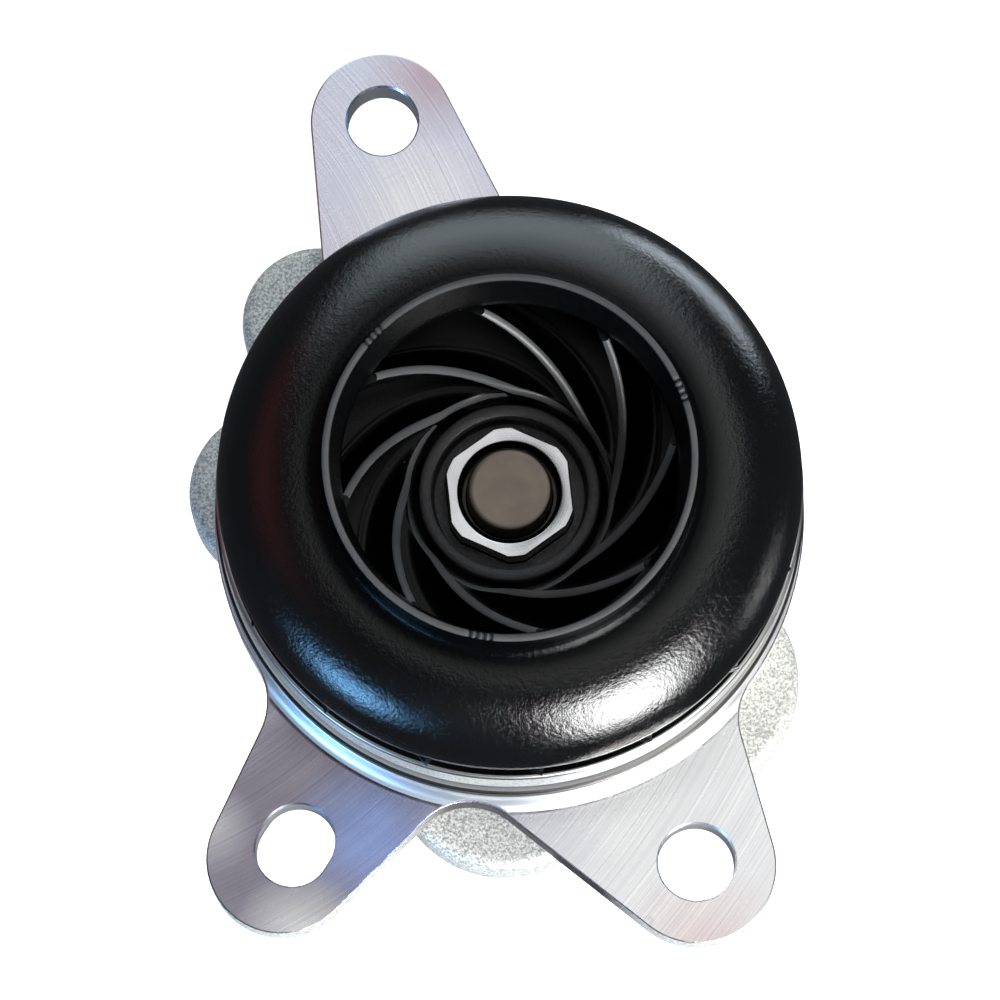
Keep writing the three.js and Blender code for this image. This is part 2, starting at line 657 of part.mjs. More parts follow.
// Hexagon with its corners turned off, grown by a clearance.
function hexPrism(clearance, low, high) {
  const flat = HEX_ACROSS_FLATS / 2 + clearance;
  const corner = HEX_CORNER_RADIUS + clearance;
  const sweep = Math.PI / 6 - Math.acos(flat / corner);
  const points = [];
  for (let i = 0; i < 6; i += 1) {
    const middle = radians(HEX_TURN + 90 + 60 * i);
    for (const angle of [middle - sweep, middle, middle + sweep]) {
      points.push(new THREE.Vector2(corner * Math.cos(angle), corner * Math.sin(angle)));
    }
  }
  return solid(raise(new THREE.Shape(points), low, high));
}

function hexInsert() {
  const bore = solid(revolve([
    [0, HEX_LOW_Z - 1],
    [SHAFT_NOSE_RADIUS + RUNNING_GAP, HEX_LOW_Z - 1],
    [SHAFT_NOSE_RADIUS + RUNNING_GAP, HEX_HIGH_Z - HEX_COUNTERBORE_DEPTH],
    [HEX_COUNTERBORE_RADIUS, HEX_HIGH_Z - HEX_COUNTERBORE_DEPTH],
    [HEX_COUNTERBORE_RADIUS, HEX_HIGH_Z - (HEX_MOUTH_RADIUS - HEX_COUNTERBORE_RADIUS)],
    [HEX_MOUTH_RADIUS + 0.1, HEX_HIGH_Z + 0.1],
    [0, HEX_HIGH_Z + 0.1],
  ], SMALL_RING_STEPS));
  return geometryOf(hexPrism(0, HEX_LOW_Z, HEX_HIGH_Z).subtract(bore));
}

// Point on a vane's middle surface. share runs from the hub disc (0) to the shroud (1). The
// streamline starts on the swept inlet edge and winds out to the rim as a logarithmic spiral.
function vanePoint(share, radiusShare, startRadius) {
  const edgeSweep = VANE_EDGE_SWEEP * share ** 0.52;
  const bend = Math.max(0, (edgeSweep - 38) / (VANE_EDGE_SWEEP - 38)) ** 1.5;
  const edgeRadius = mix(VANE_HUB_RADIUS, VANE_SHROUD_RADIUS, bend);
  const radius = mix(Math.max(edgeRadius, startRadius), VANE_TIP_RADIUS, radiusShare);
  const wind = Math.log(radius / edgeRadius) / Math.log(VANE_TIP_RADIUS / edgeRadius);
  const angle = radians(mix(edgeSweep, VANE_TIP_SWEEP, wind));
  const roof = shroudUnder(radius) - VANE_ROOF_GAP;
  const z = mix(discTop(radius), roof, share);
  return new THREE.Vector3(radius * Math.cos(angle), radius * Math.sin(angle), z);
}

// One vane as a closed solid of even thickness, its root sunk into the disc.
function vane(turn, startRadius, rows, columns) {
  const front = [];
  const back = [];
  const step = 0.01;
  for (let i = 0; i <= rows; i += 1) {
    const share = (i / rows) ** 2;
    const sides = [[], []];
    for (let j = 0; j <= columns; j += 1) {
      const flow = j / columns;
      const point = vanePoint(share, flow, startRadius);
      const higher = vanePoint(Math.min(share + step, 1), flow, startRadius);
      const lower = vanePoint(Math.max(share - step, 0), flow, startRadius);
      const ahead = vanePoint(share, Math.min(flow + step, 1), startRadius);
      const behind = vanePoint(share, Math.max(flow - step, 0), startRadius);
      const normal = ahead.sub(behind).cross(higher.sub(lower)).normalize();
      [1, -1].forEach((sign, k) => {
        const side = point.clone().addScaledVector(normal, sign * VANE_THICKNESS / 2);
        const roof = shroudUnder(Math.hypot(side.x, side.y)) - VANE_ROOF_GAP;
        side.z = Math.min(side.z, roof);
        sides[k].push(side);
      });
    }
    front.push(sides[0]);
    back.push(sides[1]);
  }
  const sunk = (row) => row.map((point) => new THREE.Vector3(point.x, point.y, point.z - VANE_ROOT_SINK));
  const grid = plateBetween([sunk(front[0]), ...front], [sunk(back[0]), ...back]);
  return solid(grid.rotateZ(turn));
}

function impellerBack() {
  const topRadii = [36, 29, 21];
  let back = solid(revolve([
    [0, HUB_BACK_Z],
    [HUB_BACK_RADIUS, HUB_BACK_Z],
    [HUB_BACK_RADIUS + 0.4, HUB_BACK_Z + 3.6],
    [DISC_RADIUS - DISC_RIM_WALL - 0.4, DISC_RIM_Z - 3.4],
    [DISC_RADIUS - DISC_RIM_WALL, DISC_RIM_Z - 3.8],
    [DISC_RADIUS - DISC_RIM_WALL, DISC_RIM_LOW_Z],
    [DISC_RADIUS, DISC_RIM_LOW_Z],
    [DISC_RADIUS, DISC_RIM_Z - EDGE_BREAK],
    [DISC_RADIUS - EDGE_BREAK, DISC_RIM_Z],
    ...topRadii.map((radius) => [radius, discTop(radius)]),
    [DISC_ROOT_RADIUS, DISC_ROOT_Z],
    [BOSS_RADIUS, DISC_ROOT_Z + 0.6],
    [BOSS_RADIUS, BOSS_TOP_Z - EDGE_BREAK],
    [BOSS_RADIUS - EDGE_BREAK, BOSS_TOP_Z],
    [BOSS_RECESS_RADIUS, BOSS_TOP_Z],
    [BOSS_RECESS_RADIUS, BOSS_RECESS_Z],
    [0, BOSS_RECESS_Z],
  ], BIG_RING_STEPS));
  back = back.subtract(hexPrism(RUNNING_GAP, HUB_BACK_Z - 1, BOSS_TOP_Z));
  const pitch = 2 * Math.PI / VANE_COUNT;
  for (let i = 0; i < VANE_COUNT; i += 1) {
    const turn = radians(VANE_START_ANGLE) + i * pitch;
    back = back.add(vane(turn, VANE_HUB_RADIUS, 3, 6));
    back = back.add(vane(turn + pitch / 2, SPLITTER_START_RADIUS, 1, 3));
  }
  return geometryOf(back);
}

function impellerShroud() {
  const [start, bendIn, bendOut] = DOME_CURVE.map(([radius, z]) => new THREE.Vector2(radius, z));
  const dome = new THREE.CubicBezierCurve(
    start, bendIn, bendOut, new THREE.Vector2(IMPELLER_RADIUS, SHROUD_LIP_Z));
  const underRadii = [30, 36, 39];
  return revolve([
    [EYE_THROAT_RADIUS, EYE_THROAT_Z],
    [SHROUD_UNDER_START, SHROUD_UNDER_Z],
    ...underRadii.map((radius) => [radius, shroudUnder(radius)]),
    [IMPELLER_RADIUS, OUTLET_TOP_Z],
    ...dome.getPoints(5).reverse().map((point) => [point.x, point.y]),
    [EYE_OUTER_RADIUS + 0.5, EYE_COLLAR_Z],
    [EYE_OUTER_RADIUS, EYE_COLLAR_Z + 1],
    [EYE_OUTER_RADIUS, EYE_TOP_Z - EDGE_BREAK],
    [EYE_OUTER_RADIUS - EDGE_BREAK, EYE_TOP_Z],
    [EYE_OUTER_RADIUS - 3 * EDGE_BREAK, EYE_TOP_Z],
  ], BIG_RING_STEPS);
}

// ---- Assembly --------------------------------------------------------------------------------

const aluminium = metal(0xc9cbd0, 0.38);
const blackPlastic = dull(0x0c0d0f, 0.2);
const bearingSteel = metal(0xb8b5b0, 0.25);
const sealSteel = metal(0xc4b48a, 0.35);
const rubber = dull(0x141414, 0.7);
const cagePolymer = dull(0x8a7a4a, 0.5);

const pump = new THREE.Group();

function place(name, geometry, material) {
  const mesh = new THREE.Mesh(geometry, material.clone());
  mesh.geometry.computeVertexNormals();
  mesh.name = name;
  pump.add(mesh);
  return mesh;
}

place('pump_body', pumpBody(), aluminium);
place('body_o_ring', bodySealRing(), rubber);
place('bearing_outer_ring', bearingOuterRing(), bearingSteel);
place('bearing_end_seal_rear', bearingEndSeal(BEARING_LOW_Z + END_SEAL_INSET), rubber);
place('bearing_end_seal_front', bearingEndSeal(BEARING_HIGH_Z - END_SEAL_INSET - END_SEAL_THICKNESS), rubber);
place('bearing_cage_rear', bearingCage(BALL_ROWS.rear, -1), cagePolymer);
place('bearing_cage_front', bearingCage(BALL_ROWS.front, 1), cagePolymer);
for (const [row, z] of Object.entries(BALL_ROWS)) {
  ballPlaces(z).forEach((at, i) => {
    const sphere = closed(new THREE.IcosahedronGeometry(BALL_RADIUS, 1));
    place(`bearing_ball_${row}_${i + 1}`, sphere, bearingSteel).position.copy(at);
  });
}
place('shaft', shaft(), metal(0xa89c90, 0.35));
place('drive_hub', driveHub(), metal(0x9a9ca0, 0.4));
place('slinger_ring', slingerRing(), rubber);
place('seal_case', sealCase(), sealSteel);
place('seal_bellows', sealBellows(), rubber);
place('seal_spring', sealSpring(), metal(0xb0b0b0, 0.3));
place('seal_carbon_ring', sealCarbonRing(), dull(0x2a2a2c, 0.4));
place('seal_mating_ring', sealMatingRing(), dull(0xe6e2d8, 0.3));
place('seal_seat_cup', sealSeatCup(), rubber);
place('impeller_back', impellerBack(), blackPlastic);
place('impeller_shroud', impellerShroud(), blackPlastic);
place('hex_insert', hexInsert(), metal(0xd4d5d8, 0.25));

export default pump;
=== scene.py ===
"""Looks of the coolant pump: its pieces in fine detail, with a studio floor, lights and camera."""
import math

import bmesh
import bpy
from mathutils import Matrix, Vector


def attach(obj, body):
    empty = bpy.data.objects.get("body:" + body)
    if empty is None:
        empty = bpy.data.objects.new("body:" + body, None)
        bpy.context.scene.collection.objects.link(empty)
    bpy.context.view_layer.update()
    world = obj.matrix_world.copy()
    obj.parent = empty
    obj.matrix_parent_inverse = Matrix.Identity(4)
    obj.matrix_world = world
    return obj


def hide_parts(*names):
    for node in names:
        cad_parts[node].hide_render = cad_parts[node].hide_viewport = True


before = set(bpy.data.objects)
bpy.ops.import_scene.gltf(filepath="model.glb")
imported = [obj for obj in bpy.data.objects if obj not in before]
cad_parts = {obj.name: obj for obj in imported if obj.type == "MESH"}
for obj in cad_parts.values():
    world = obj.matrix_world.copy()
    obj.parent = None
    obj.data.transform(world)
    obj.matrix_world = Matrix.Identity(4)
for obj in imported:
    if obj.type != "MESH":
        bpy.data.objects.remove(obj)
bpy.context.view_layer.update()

MM = 0.001

# ---- Sizes in millimetres; the shaft is the Z axis ---------------------------------------------

EAR_FACE_Z = 68.0
EAR_BACK_Z = 62.0
WAIST_RADIUS = 42.85
OUTLINE_INSET = 0.1
# Each ear: centre and radius of its round end, the directions its right and left edges face in degrees,
# its root fillets, and its bolt hole, which may be a short slot.
EARS = (
    dict(end=(-18.8, 58.9), radius=10.6, right=26.7, left=185.2, fillets=(8, 8),
         hole=(-18.7, 59.0), hole_radius=5.2, slot=0.0),
    dict(end=(-32.5, -50.4), radius=10.9, right=155.0, left=315.5, fillets=(10, 8.4),
         hole=(-30.6, -48.5), hole_radius=5.3, slot=1.4),
    dict(end=(26.8, -51.3), radius=11.4, right=231.6, left=375.5, fillets=(8.4, 9),
         hole=(26.7, -50.9), hole_radius=5.5, slot=0.0),
)
PILOT_RADIUS = 42.2
PILOT_FOOT_RADIUS = 44.5
PILOT_TOP_Z = 75.0
FILLET_RISE = 2.3
GROOVE_FLOOR = 40.3
GROOVE_LOW_Z = 71.4
GROOVE_HIGH_Z = 73.2
CHAMBER_RADIUS = 38.5
CHAMBER_FLOOR_Z = 72.0

FLANGE_BACK_Z = 52.0
FLANGE_RADIUS = 41.3
LOBES = ((-0.6, -35.0, 16.6), (25.4, -23.6, 16.7), (-34.2, 4.4, 12.7), (-28.0, 30.0, 11.4))
BARREL_RADIUS = 20.4
BARREL_END_Z = 18.6
RIB_COUNT = 6
RIB_START_Z = 24.5
RIB_THICKNESS = 4.0
RIB_BELLY = (25.5, 46)  # radius and height that the rib's hollow edge is pulled towards
CAST_VOXEL = 0.6
BEARING_BORE = 15.1
NECK_RADIUS = 13.0
SEAL_BORE = 15.3
SEAL_BRIM_BORE = 18.8
BORE_PROFILE = (
    (0, 17.0), (BEARING_BORE, 17.0), (BEARING_BORE, 48.2), (NECK_RADIUS, 48.2), (NECK_RADIUS, 52.5),
    (SEAL_BORE, 52.5), (SEAL_BORE, 61.0), (SEAL_BRIM_BORE, 61.0), (SEAL_BRIM_BORE, CHAMBER_FLOOR_Z),
    (CHAMBER_RADIUS - 0.8, CHAMBER_FLOOR_Z), (CHAMBER_RADIUS, CHAMBER_FLOOR_Z + 0.8),
    (CHAMBER_RADIUS, 76.0), (0, 76.0),
)
WEEP_Z = 50.4
WEEP_RADIUS = 1.9

SHAFT_RADIUS = 8.0
NOSE_RADIUS = 6.1
SHAFT_TOP_Z = 84.0
SHAFT_STEP_Z = 52.0
RING_INNER = 12.1
RING_OUTER = 14.9
RING_LOW_Z = 19.0
RING_HIGH_Z = 48.0
SEAL_THICKNESS = 1.3
BALL_RADIUS = 3.0
TRACK_RADIUS = 3.2
POCKET_RADIUS = 3.3
CAGE_INNER = 9.15
CAGE_OUTER = 11.25
CAGE_BACK = 4.2
CAGE_FRONT = 1.2
BALL_CIRCLE = 10.1
BALL_COUNT = 8
BALL_ROWS = {"rear": 25.5, "front": 41.0}

HUB_RADIUS = 31.0
HUB_PLATE = 5.0
HUB_SLEEVE_RADIUS = 14.5
HUB_SLEEVE_END_Z = 17.0
HUB_BORE = 8.15
HUB_HOLE_COUNT = 4
HUB_HOLE_CIRCLE = 23
HUB_HOLE_RADIUS = 3.4

SPRING_TURNS = 3.5
SPRING_WIRE = 0.68
SPRING_RADIUS = 12.6
SPRING_LOW_Z = 54.5
SPRING_HIGH_Z = 61.8

IMPELLER_RADIUS = 41.0
DISC_RADIUS = 41.6
DISC_ROOT_RADIUS = 13.4
DISC_ROOT_Z = 80.6
DISC_RIM_Z = 85.0
SHROUD_UNDER_START = 24.6
SHROUD_UNDER_Z = 97.0
SHROUD_GAP = 0.45
OUTLET_TOP_Z = 89.5
VANE_COUNT = 8
VANE_START = 91.0  # this and the next three are degrees round the shaft
VANE_TIP_SWEEP = 141.0
VANE_EDGE_SWEEP = 98.0
VANE_STRAIGHT_SWEEP = 38.0
VANE_HUB_RADIUS = 14.3
VANE_SHROUD_RADIUS = 22.9
VANE_TIP_RADIUS = 40.2
VANE_THICKNESS = 1.4
NOSE_COLUMNS = 2  # columns of a vane's grid that form its rounded inlet edge
SPLITTER_START = 29.5
EYE_TOP_Z = 106.0
EYE_RADIUS = 25.85
RIM_MARKS = (138.0, 21.6, 261.0)  # degrees round the eye where the collar's rim is worn

HEX_FLAT = 8.8
HEX_CORNER = 9.5
HEX_TURN = 6.0  # degrees
HEX_TOP_Z = 82.3
HEX_CLEARANCE = 0.15
MOUTH_RADIUS = 7.45

FLOOR_REACH = 3000
FLOOR_DROP = 0.2
VIEW_TILT = 12  # degrees between the view and the shaft
VIEW_TARGET = (-1.36, 1.86, EAR_FACE_Z)
VIEW_DISTANCE = 682
VIEW_LENS = 169.4


# ---- Mesh helpers ------------------------------------------------------------------------------

def link(name, mesh):
    obj = bpy.data.objects.new(name, mesh)
    bpy.context.scene.collection.objects.link(obj)
    return obj


def mesh_object(name, verts, faces):
    mesh = bpy.data.meshes.new(name)
    mesh.from_pydata([tuple(c * MM for c in v) for v in verts], [], faces)
    shape = bmesh.new()
    shape.from_mesh(mesh)
    bmesh.ops.recalc_face_normals(shape, faces=shape.faces)
    shape.to_mesh(mesh)
    shape.free()
    return link(name, mesh)


def rounded(profile, radius, closed=True, segments=4):
    """The profile with each corner replaced by a short curve that starts radius before it."""
    points = [Vector(p) for p in profile]
    result = []
    for i, here in enumerate(points):
        ends_loop = not closed and i in (0, len(points) - 1)
        before, after = points[i - 1], points[(i + 1) % len(points)]
        if ends_loop or here.x == 0:
            result.append(here)
            continue
        back, ahead = before - here, after - here
        if back.angle(ahead) > math.radians(170):
            result.append(here)
            continue
        reach_back = back.normalized() * min(radius, 0.45 * back.length)
        reach_ahead = ahead.normalized() * min(radius, 0.45 * ahead.length)
        for k in range(segments + 1):
            u = k / segments
            result.append(here + reach_back * (1 - u) ** 2 + reach_ahead * u ** 2)
    return [tuple(p) for p in result]


def lathe(name, profile, steps=128, shape=None):
    """Solid of revolution. A profile that starts on the axis is capped there; any other is a ring."""
    on_axis = profile[0][0] == 0
    inner = profile[1:-1] if on_axis else profile
    count = len(inner)
    verts, faces = [], []
    for s in range(steps):
        angle = 2 * math.pi * s / steps
        for r, z in inner:
            if shape:
                r, z = shape(angle, r, z)
            verts.append((r * math.cos(angle), r * math.sin(angle), z))
    for s in range(steps):
        a, b = s * count, (s + 1) % steps * count
        for k in range(count if not on_axis else count - 1):
            n = (k + 1) % count
            faces.append((a + k, b + k, b + n, a + n))
    if on_axis:
        for k, (_, z) in ((0, profile[0]), (count - 1, profile[-1])):
            verts.append((0, 0, z))
            centre = len(verts) - 1
            faces += [(s * count + k, (s + 1) % steps * count + k, centre) for s in range(steps)]
    return mesh_object(name, verts, faces)


def prism(name, outline, rings):
    """A flat outline carried through rings of (outward offset, z), capped at both ends."""
    count = len(outline)
    normals = []
    for i, (x, y) in enumerate(outline):
        ahead = Vector(outline[(i + 1) % count]) - Vector((x, y))
        back = Vector((x, y)) - Vector(outline[i - 1])
        along = (ahead.normalized() + back.normalized()).normalized()
        normals.append(Vector((along.y, -along.x)))
    verts = [(x + n.x * off, y + n.y * off, z)
             for off, z in rings for (x, y), n in zip(outline, normals)]
    faces = []
    for r in range(len(rings) - 1):
        for i in range(count):
            j = (i + 1) % count
            faces.append((r * count + i, r * count + j, (r + 1) * count + j, (r + 1) * count + i))
    faces.append(tuple(range(count)))
    faces.append(tuple(range((len(rings) - 1) * count, len(rings) * count)))
    return mesh_object(name, verts, faces)


def sphere(name, radius, centre, rows):
    mesh = bpy.data.meshes.new(name)
    shape = bmesh.new()
    bmesh.ops.create_uvsphere(shape, u_segments=32, v_segments=rows, radius=radius * MM)
    bmesh.ops.translate(shape, verts=shape.verts, vec=Vector(centre) * MM)
    shape.to_mesh(mesh)
    shape.free()
    return link(name, mesh)


def bake(obj):
    """Turns the object's modifiers into its mesh."""
    view = bpy.context.evaluated_depsgraph_get()
    mesh = bpy.data.meshes.new_from_object(obj.evaluated_get(view))
    obj.modifiers.clear()
    obj.data = mesh
    return obj


def combine(obj, other, operation):
    """Exact boolean; the other object is used up."""
    change = obj.modifiers.new("boolean", "BOOLEAN")
    change.operation = operation
    change.solver = "EXACT"
    change.object = other
    bake(obj)
    bpy.data.objects.remove(other)


def join(name, parts):
    shape = bmesh.new()
    for part in parts:
        shape.from_mesh(part.data)
        bpy.data.objects.remove(part)
    mesh = bpy.data.meshes.new(name)
    shape.to_mesh(mesh)
    shape.free()
    return link(name, mesh)


def finish_piece(obj, body, slot, materials, *nodes, sharp=35):
    """Shades the piece, gives it its materials, ties it to its body and hides its CAD nodes. The slot
    argument is not used.
    """
    for material in materials:
        obj.data.materials.append(material)
    obj.data.polygons.foreach_set("use_smooth", [True] * len(obj.data.polygons))
    obj.data.set_sharp_from_angle(angle=math.radians(sharp))
    weighted = obj.modifiers.new("weighted", "WEIGHTED_NORMAL")
    weighted.keep_sharp = True
    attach(obj, body)
    if nodes:
        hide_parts(*nodes)
    return obj


# ---- Material helpers --------------------------------------------------------------------------

def new_material(name, color, metallic, roughness, **sockets):
    material = bpy.data.materials.new(name)
    material.use_nodes = True
    tree = material.node_tree
    bsdf = tree.nodes["Principled BSDF"]
    bsdf.inputs["Base Color"].default_value = (*color, 1)
    bsdf.inputs["Metallic"].default_value = metallic
    bsdf.inputs["Roughness"].default_value = roughness
    for socket, value in sockets.items():
        bsdf.inputs[socket.replace("_", " ")].default_value = value
    return material, tree, bsdf


def add(tree, kind, inputs=None, **settings):
    node = tree.nodes.new("ShaderNode" + kind)
    for key, value in settings.items():
        setattr(node, key, value)
    for key, value in (inputs or {}).items():
        socket = node.inputs[key]
        if isinstance(value, bpy.types.NodeSocket):
            tree.links.new(value, socket)
        else:
            socket.default_value = value
    return node


def place(tree):
    return add(tree, "TexCoord").outputs["Object"]


def noise(tree, vector, scale, detail=4, rough=0.55):
    return add(tree, "TexNoise", {"Vector": vector, "Scale": scale, "Detail": detail,
                                  "Roughness": rough}).outputs["Fac"]


def math_node(tree, operation, a, b):
    return add(tree, "Math", {0: a, 1: b}, operation=operation).outputs[0]


def height_of(tree, vector):
    return add(tree, "SeparateXYZ", {0: vector}).outputs["Z"]


def radius_of(tree, vector):
    """Distance from the Z axis."""
    flat = add(tree, "VectorMath", {0: vector, 1: (1, 1, 0)}, operation="MULTIPLY")
    return add(tree, "VectorMath", {0: flat.outputs[0]}, operation="LENGTH").outputs["Value"]


def along_line(tree, value):
    """A vector that only changes with value, so that a noise over it makes parallel marks."""
    return add(tree, "CombineXYZ", {"X": value}).outputs[0]


def span(tree, value, low, high, to_low=0.0, to_high=1.0):
    """value mapped from low..high to to_low..to_high, clamped."""
    return add(tree, "MapRange", {"Value": value, "From Min": low, "From Max": high,
                                  "To Min": to_low, "To Max": to_high}).outputs[0]


def blend(tree, share, a, b):
    """Colour a where share is 0 and b where it is 1."""
    node = add(tree, "Mix", data_type="RGBA")
    for socket, value in ((node.inputs[0], share), (node.inputs[6], a), (node.inputs[7], b)):
        if isinstance(value, bpy.types.NodeSocket):
            tree.links.new(value, socket)
        else:
            socket.default_value = (*value, 1) if isinstance(value, tuple) else value
    return node.outputs[2]


def bump(tree, bsdf, height, strength, distance_mm, previous=None):
    inputs = {"Height": height, "Strength": strength, "Distance": distance_mm * MM}
    if previous:
        inputs["Normal"] = previous
    normal = add(tree, "Bump", inputs).outputs[0]
    tree.links.new(normal, bsdf.inputs["Normal"])
    return normal


def rings_about(tree, vector, centre, pitch_mm):
    """Uneven tool marks as circles about a centre (mm): a noise that only changes along the radius."""
    offset = add(tree, "VectorMath", {0: vector, 1: tuple(c * MM for c in centre)}, operation="SUBTRACT")
    radius = radius_of(tree, offset.outputs[0])
    wander = math_node(tree, "MULTIPLY", noise(tree, vector, 60, 2), 0.15 * MM)
    line = along_line(tree, math_node(tree, "ADD", radius, wander))
    return noise(tree, line, 1 / (pitch_mm * MM), 3, 0.7)


def near(tree, vector, centre, radius_mm, soft_mm):
    """1 within radius of the centre (mm), falling to 0 over soft."""
    away = add(tree, "VectorMath", {0: vector, 1: tuple(c * MM for c in centre)}, operation="DISTANCE")
    return span(tree, away.outputs["Value"], radius_mm * MM, (radius_mm + soft_mm) * MM, 1.0, 0.0)


# ---- Materials ---------------------------------------------------------------------------------

# Painted reflections on the brushed ears, light and dark patches at fixed places: centre x, y, full radius,
# fade (mm) and colour.
PAINTED_REFLECTIONS = (
    (34, -46, 20, 22, (0.95, 0.95, 0.95)),
    (28, -64, 3, 10, (0.86, 0.76, 0.75)),
    (-32, -48, 16, 14, (0.33, 0.31, 0.37)),
    (-20, -47, 3, 9, (0.30, 0.38, 0.68)),
    (-43, -46, 1, 6, (0.62, 0.61, 0.64)),
    (-30, -62, 2, 8, (0.80, 0.80, 0.80)),
    (-14, 46, 2, 10, (0.88, 0.88, 0.90)),
    (-11, 66, 2, 9, (0.62, 0.50, 0.56)),
)
CUTTER_CENTRE = (-75, 20, EAR_FACE_Z)
SECOND_CUTTER_CENTRE = (60, -95, EAR_FACE_Z)
VALLEY_SHADE_CENTRE = (4, -46, 65)
BLACK = (0.0014, 0.0016, 0.0018)
DUST_WEAR_AND_HIGHLIGHT_GREY = (0.09, 0.09, 0.09)


def milled_aluminium():
    """The ears' faces: curved cutter marks, painted reflections, stains and a few pits."""
    material, tree, bsdf = new_material("milled_aluminium", (0.78, 0.78, 0.8), 1.0, 0.3)
    at = place(tree)
    marks = rings_about(tree, at, CUTTER_CENTRE, 0.35)
    cross = rings_about(tree, at, SECOND_CUTTER_CENTRE, 0.6)
    wide = rings_about(tree, at, CUTTER_CENTRE, 2.2)
    stain = noise(tree, at, 45, 5)
    tint = noise(tree, at, 22, 2)
    silver = blend(tree, span(tree, tint, 0.35, 0.65), (0.72, 0.66, 0.74), (0.76, 0.82, 0.96))
    # Painted reflections: light and dark patches laid into the base colour at fixed places.
    for x, y, inner, soft, color in PAINTED_REFLECTIONS:
        silver = blend(tree, near(tree, at, (x, y, EAR_FACE_Z), inner, soft), silver, color)
    streak = span(tree, marks, 0.35, 0.7, 0.72, 1.0)
    dim = add(tree, "Mix", data_type="RGBA", blend_type="MULTIPLY")
    dim.inputs[0].default_value = 1
    tree.links.new(silver, dim.inputs[6])
    tree.links.new(streak, dim.inputs[7])
    tree.links.new(dim.outputs[2], bsdf.inputs["Base Color"])
    stained = span(tree, stain, 0.3, 0.7, 0.2, 0.36)
    rough = math_node(tree, "ADD", stained, span(tree, wide, 0.3, 0.7, -0.05, 0.06))
    tree.links.new(rough, bsdf.inputs["Roughness"])
    pits = add(tree, "TexVoronoi", {"Vector": at, "Scale": 90.0}, feature="F1").outputs["Distance"]
    pit = span(tree, pits, 0.0, 0.09, 0.0, 1.0)
    first = bump(tree, bsdf, marks, 0.5, 0.06)
    second = bump(tree, bsdf, cross, 0.3, 0.06, first)
    bump(tree, bsdf, pit, 0.7, 0.12, second)
    return material


def cast_aluminium(name, wall_shade):
    """Sand-like cast skin; wall_shade paints shade onto the plate's wall in the valley between the lower
    ears.
    """
    material, tree, bsdf = new_material(name, (0.7, 0.7, 0.67), 0.45, 0.6)
    at = place(tree)
    grain = noise(tree, at, 2600, 3, 0.7)
    patch = noise(tree, at, 90, 4)
    speckle = blend(tree, span(tree, grain, 0.38, 0.6), (0.26, 0.26, 0.24), (0.84, 0.84, 0.80))
    tone = blend(tree, span(tree, patch, 0.35, 0.7, 0.0, 0.3), speckle, (0.62, 0.61, 0.57))
    tree.links.new(span(tree, grain, 0.3, 0.7, 0.42, 0.7), bsdf.inputs["Roughness"])
    # Painted shade: the plate's wall in the valley between the lower ears is darkened towards near-black.
    shade = math_node(tree, "MULTIPLY", near(tree, at, VALLEY_SHADE_CENTRE, 13, 8), wall_shade)
    tree.links.new(blend(tree, shade, tone, (0.05, 0.05, 0.05)), bsdf.inputs["Base Color"])
    first = bump(tree, bsdf, grain, 0.6, 0.12)
    bump(tree, bsdf, patch, 0.3, 0.3, first)
    return material


def turned_aluminium():
    """The pilot, chamber and bores: fine rings about the shaft."""
    material, tree, bsdf = new_material("turned_aluminium", (0.9, 0.9, 0.9), 0.85, 0.36)
    at = place(tree)
    turned = noise(tree, along_line(tree, height_of(tree, at)), 5000, 3, 0.7)
    marks = rings_about(tree, at, (0, 0, 0), 0.2)
    tint = noise(tree, at, 25, 2)
    color = blend(tree, span(tree, tint, 0.35, 0.65), (0.82, 0.79, 0.80), (0.74, 0.80, 0.84))
    tree.links.new(color, bsdf.inputs["Base Color"])
    tree.links.new(span(tree, marks, 0.3, 0.7, 0.3, 0.44), bsdf.inputs["Roughness"])
    first = bump(tree, bsdf, turned, 0.12, 0.03)
    bump(tree, bsdf, marks, 0.12, 0.03, first)
    return material


def black_moulding(name, gloss, peel, dull, bright):
    """Moulded black plastic: orange peel, a few dust specks, and greyer all round the collar's top, partly
    wear and partly a painted highlight.

    The sheen grows from dull near the eye to bright on the outer slope.
    """
    material, tree, bsdf = new_material(name, BLACK, 0.0, gloss)
    at = place(tree)
    sheen = span(tree, radius_of(tree, at), 28 * MM, 34 * MM, dull, bright)
    tree.links.new(sheen, bsdf.inputs["Specular IOR Level"])
    skin = noise(tree, at, 1150, 4, 0.65)
    fine = noise(tree, at, 2600, 3, 0.7)
    haze = noise(tree, at, 60, 5, 0.65)
    cells = add(tree, "TexVoronoi", {"Vector": at, "Scale": 420.0}).outputs["Distance"]
    dust = span(tree, cells, 0.0, 0.1, 1.0, 0.0)
    specks = math_node(tree, "MULTIPLY", dust, span(tree, haze, 0.58, 0.66))
    # The collar's top is painted greyer all round: partly wear, partly a painted highlight.
    rim = span(tree, height_of(tree, at), (EYE_TOP_Z - 0.45) * MM, (EYE_TOP_Z - 0.1) * MM)
    collar_wear_and_highlight = math_node(tree, "MULTIPLY", rim, span(tree, haze, 0.2, 0.6, 0.5, 1.0))
    color = blend(tree, collar_wear_and_highlight, blend(tree, specks, BLACK, DUST_WEAR_AND_HIGHLIGHT_GREY), DUST_WEAR_AND_HIGHLIGHT_GREY)
    tree.links.new(color, bsdf.inputs["Base Color"])
    hazy = span(tree, haze, 0.35, 0.7, gloss, gloss + 0.1)
    rough = math_node(tree, "ADD", hazy, math_node(tree, "MULTIPLY", rim, 0.3))
    tree.links.new(rough, bsdf.inputs["Roughness"])
    first = bump(tree, bsdf, skin, peel, 0.12)
    bump(tree, bsdf, fine, peel, 0.07, first)
    return material


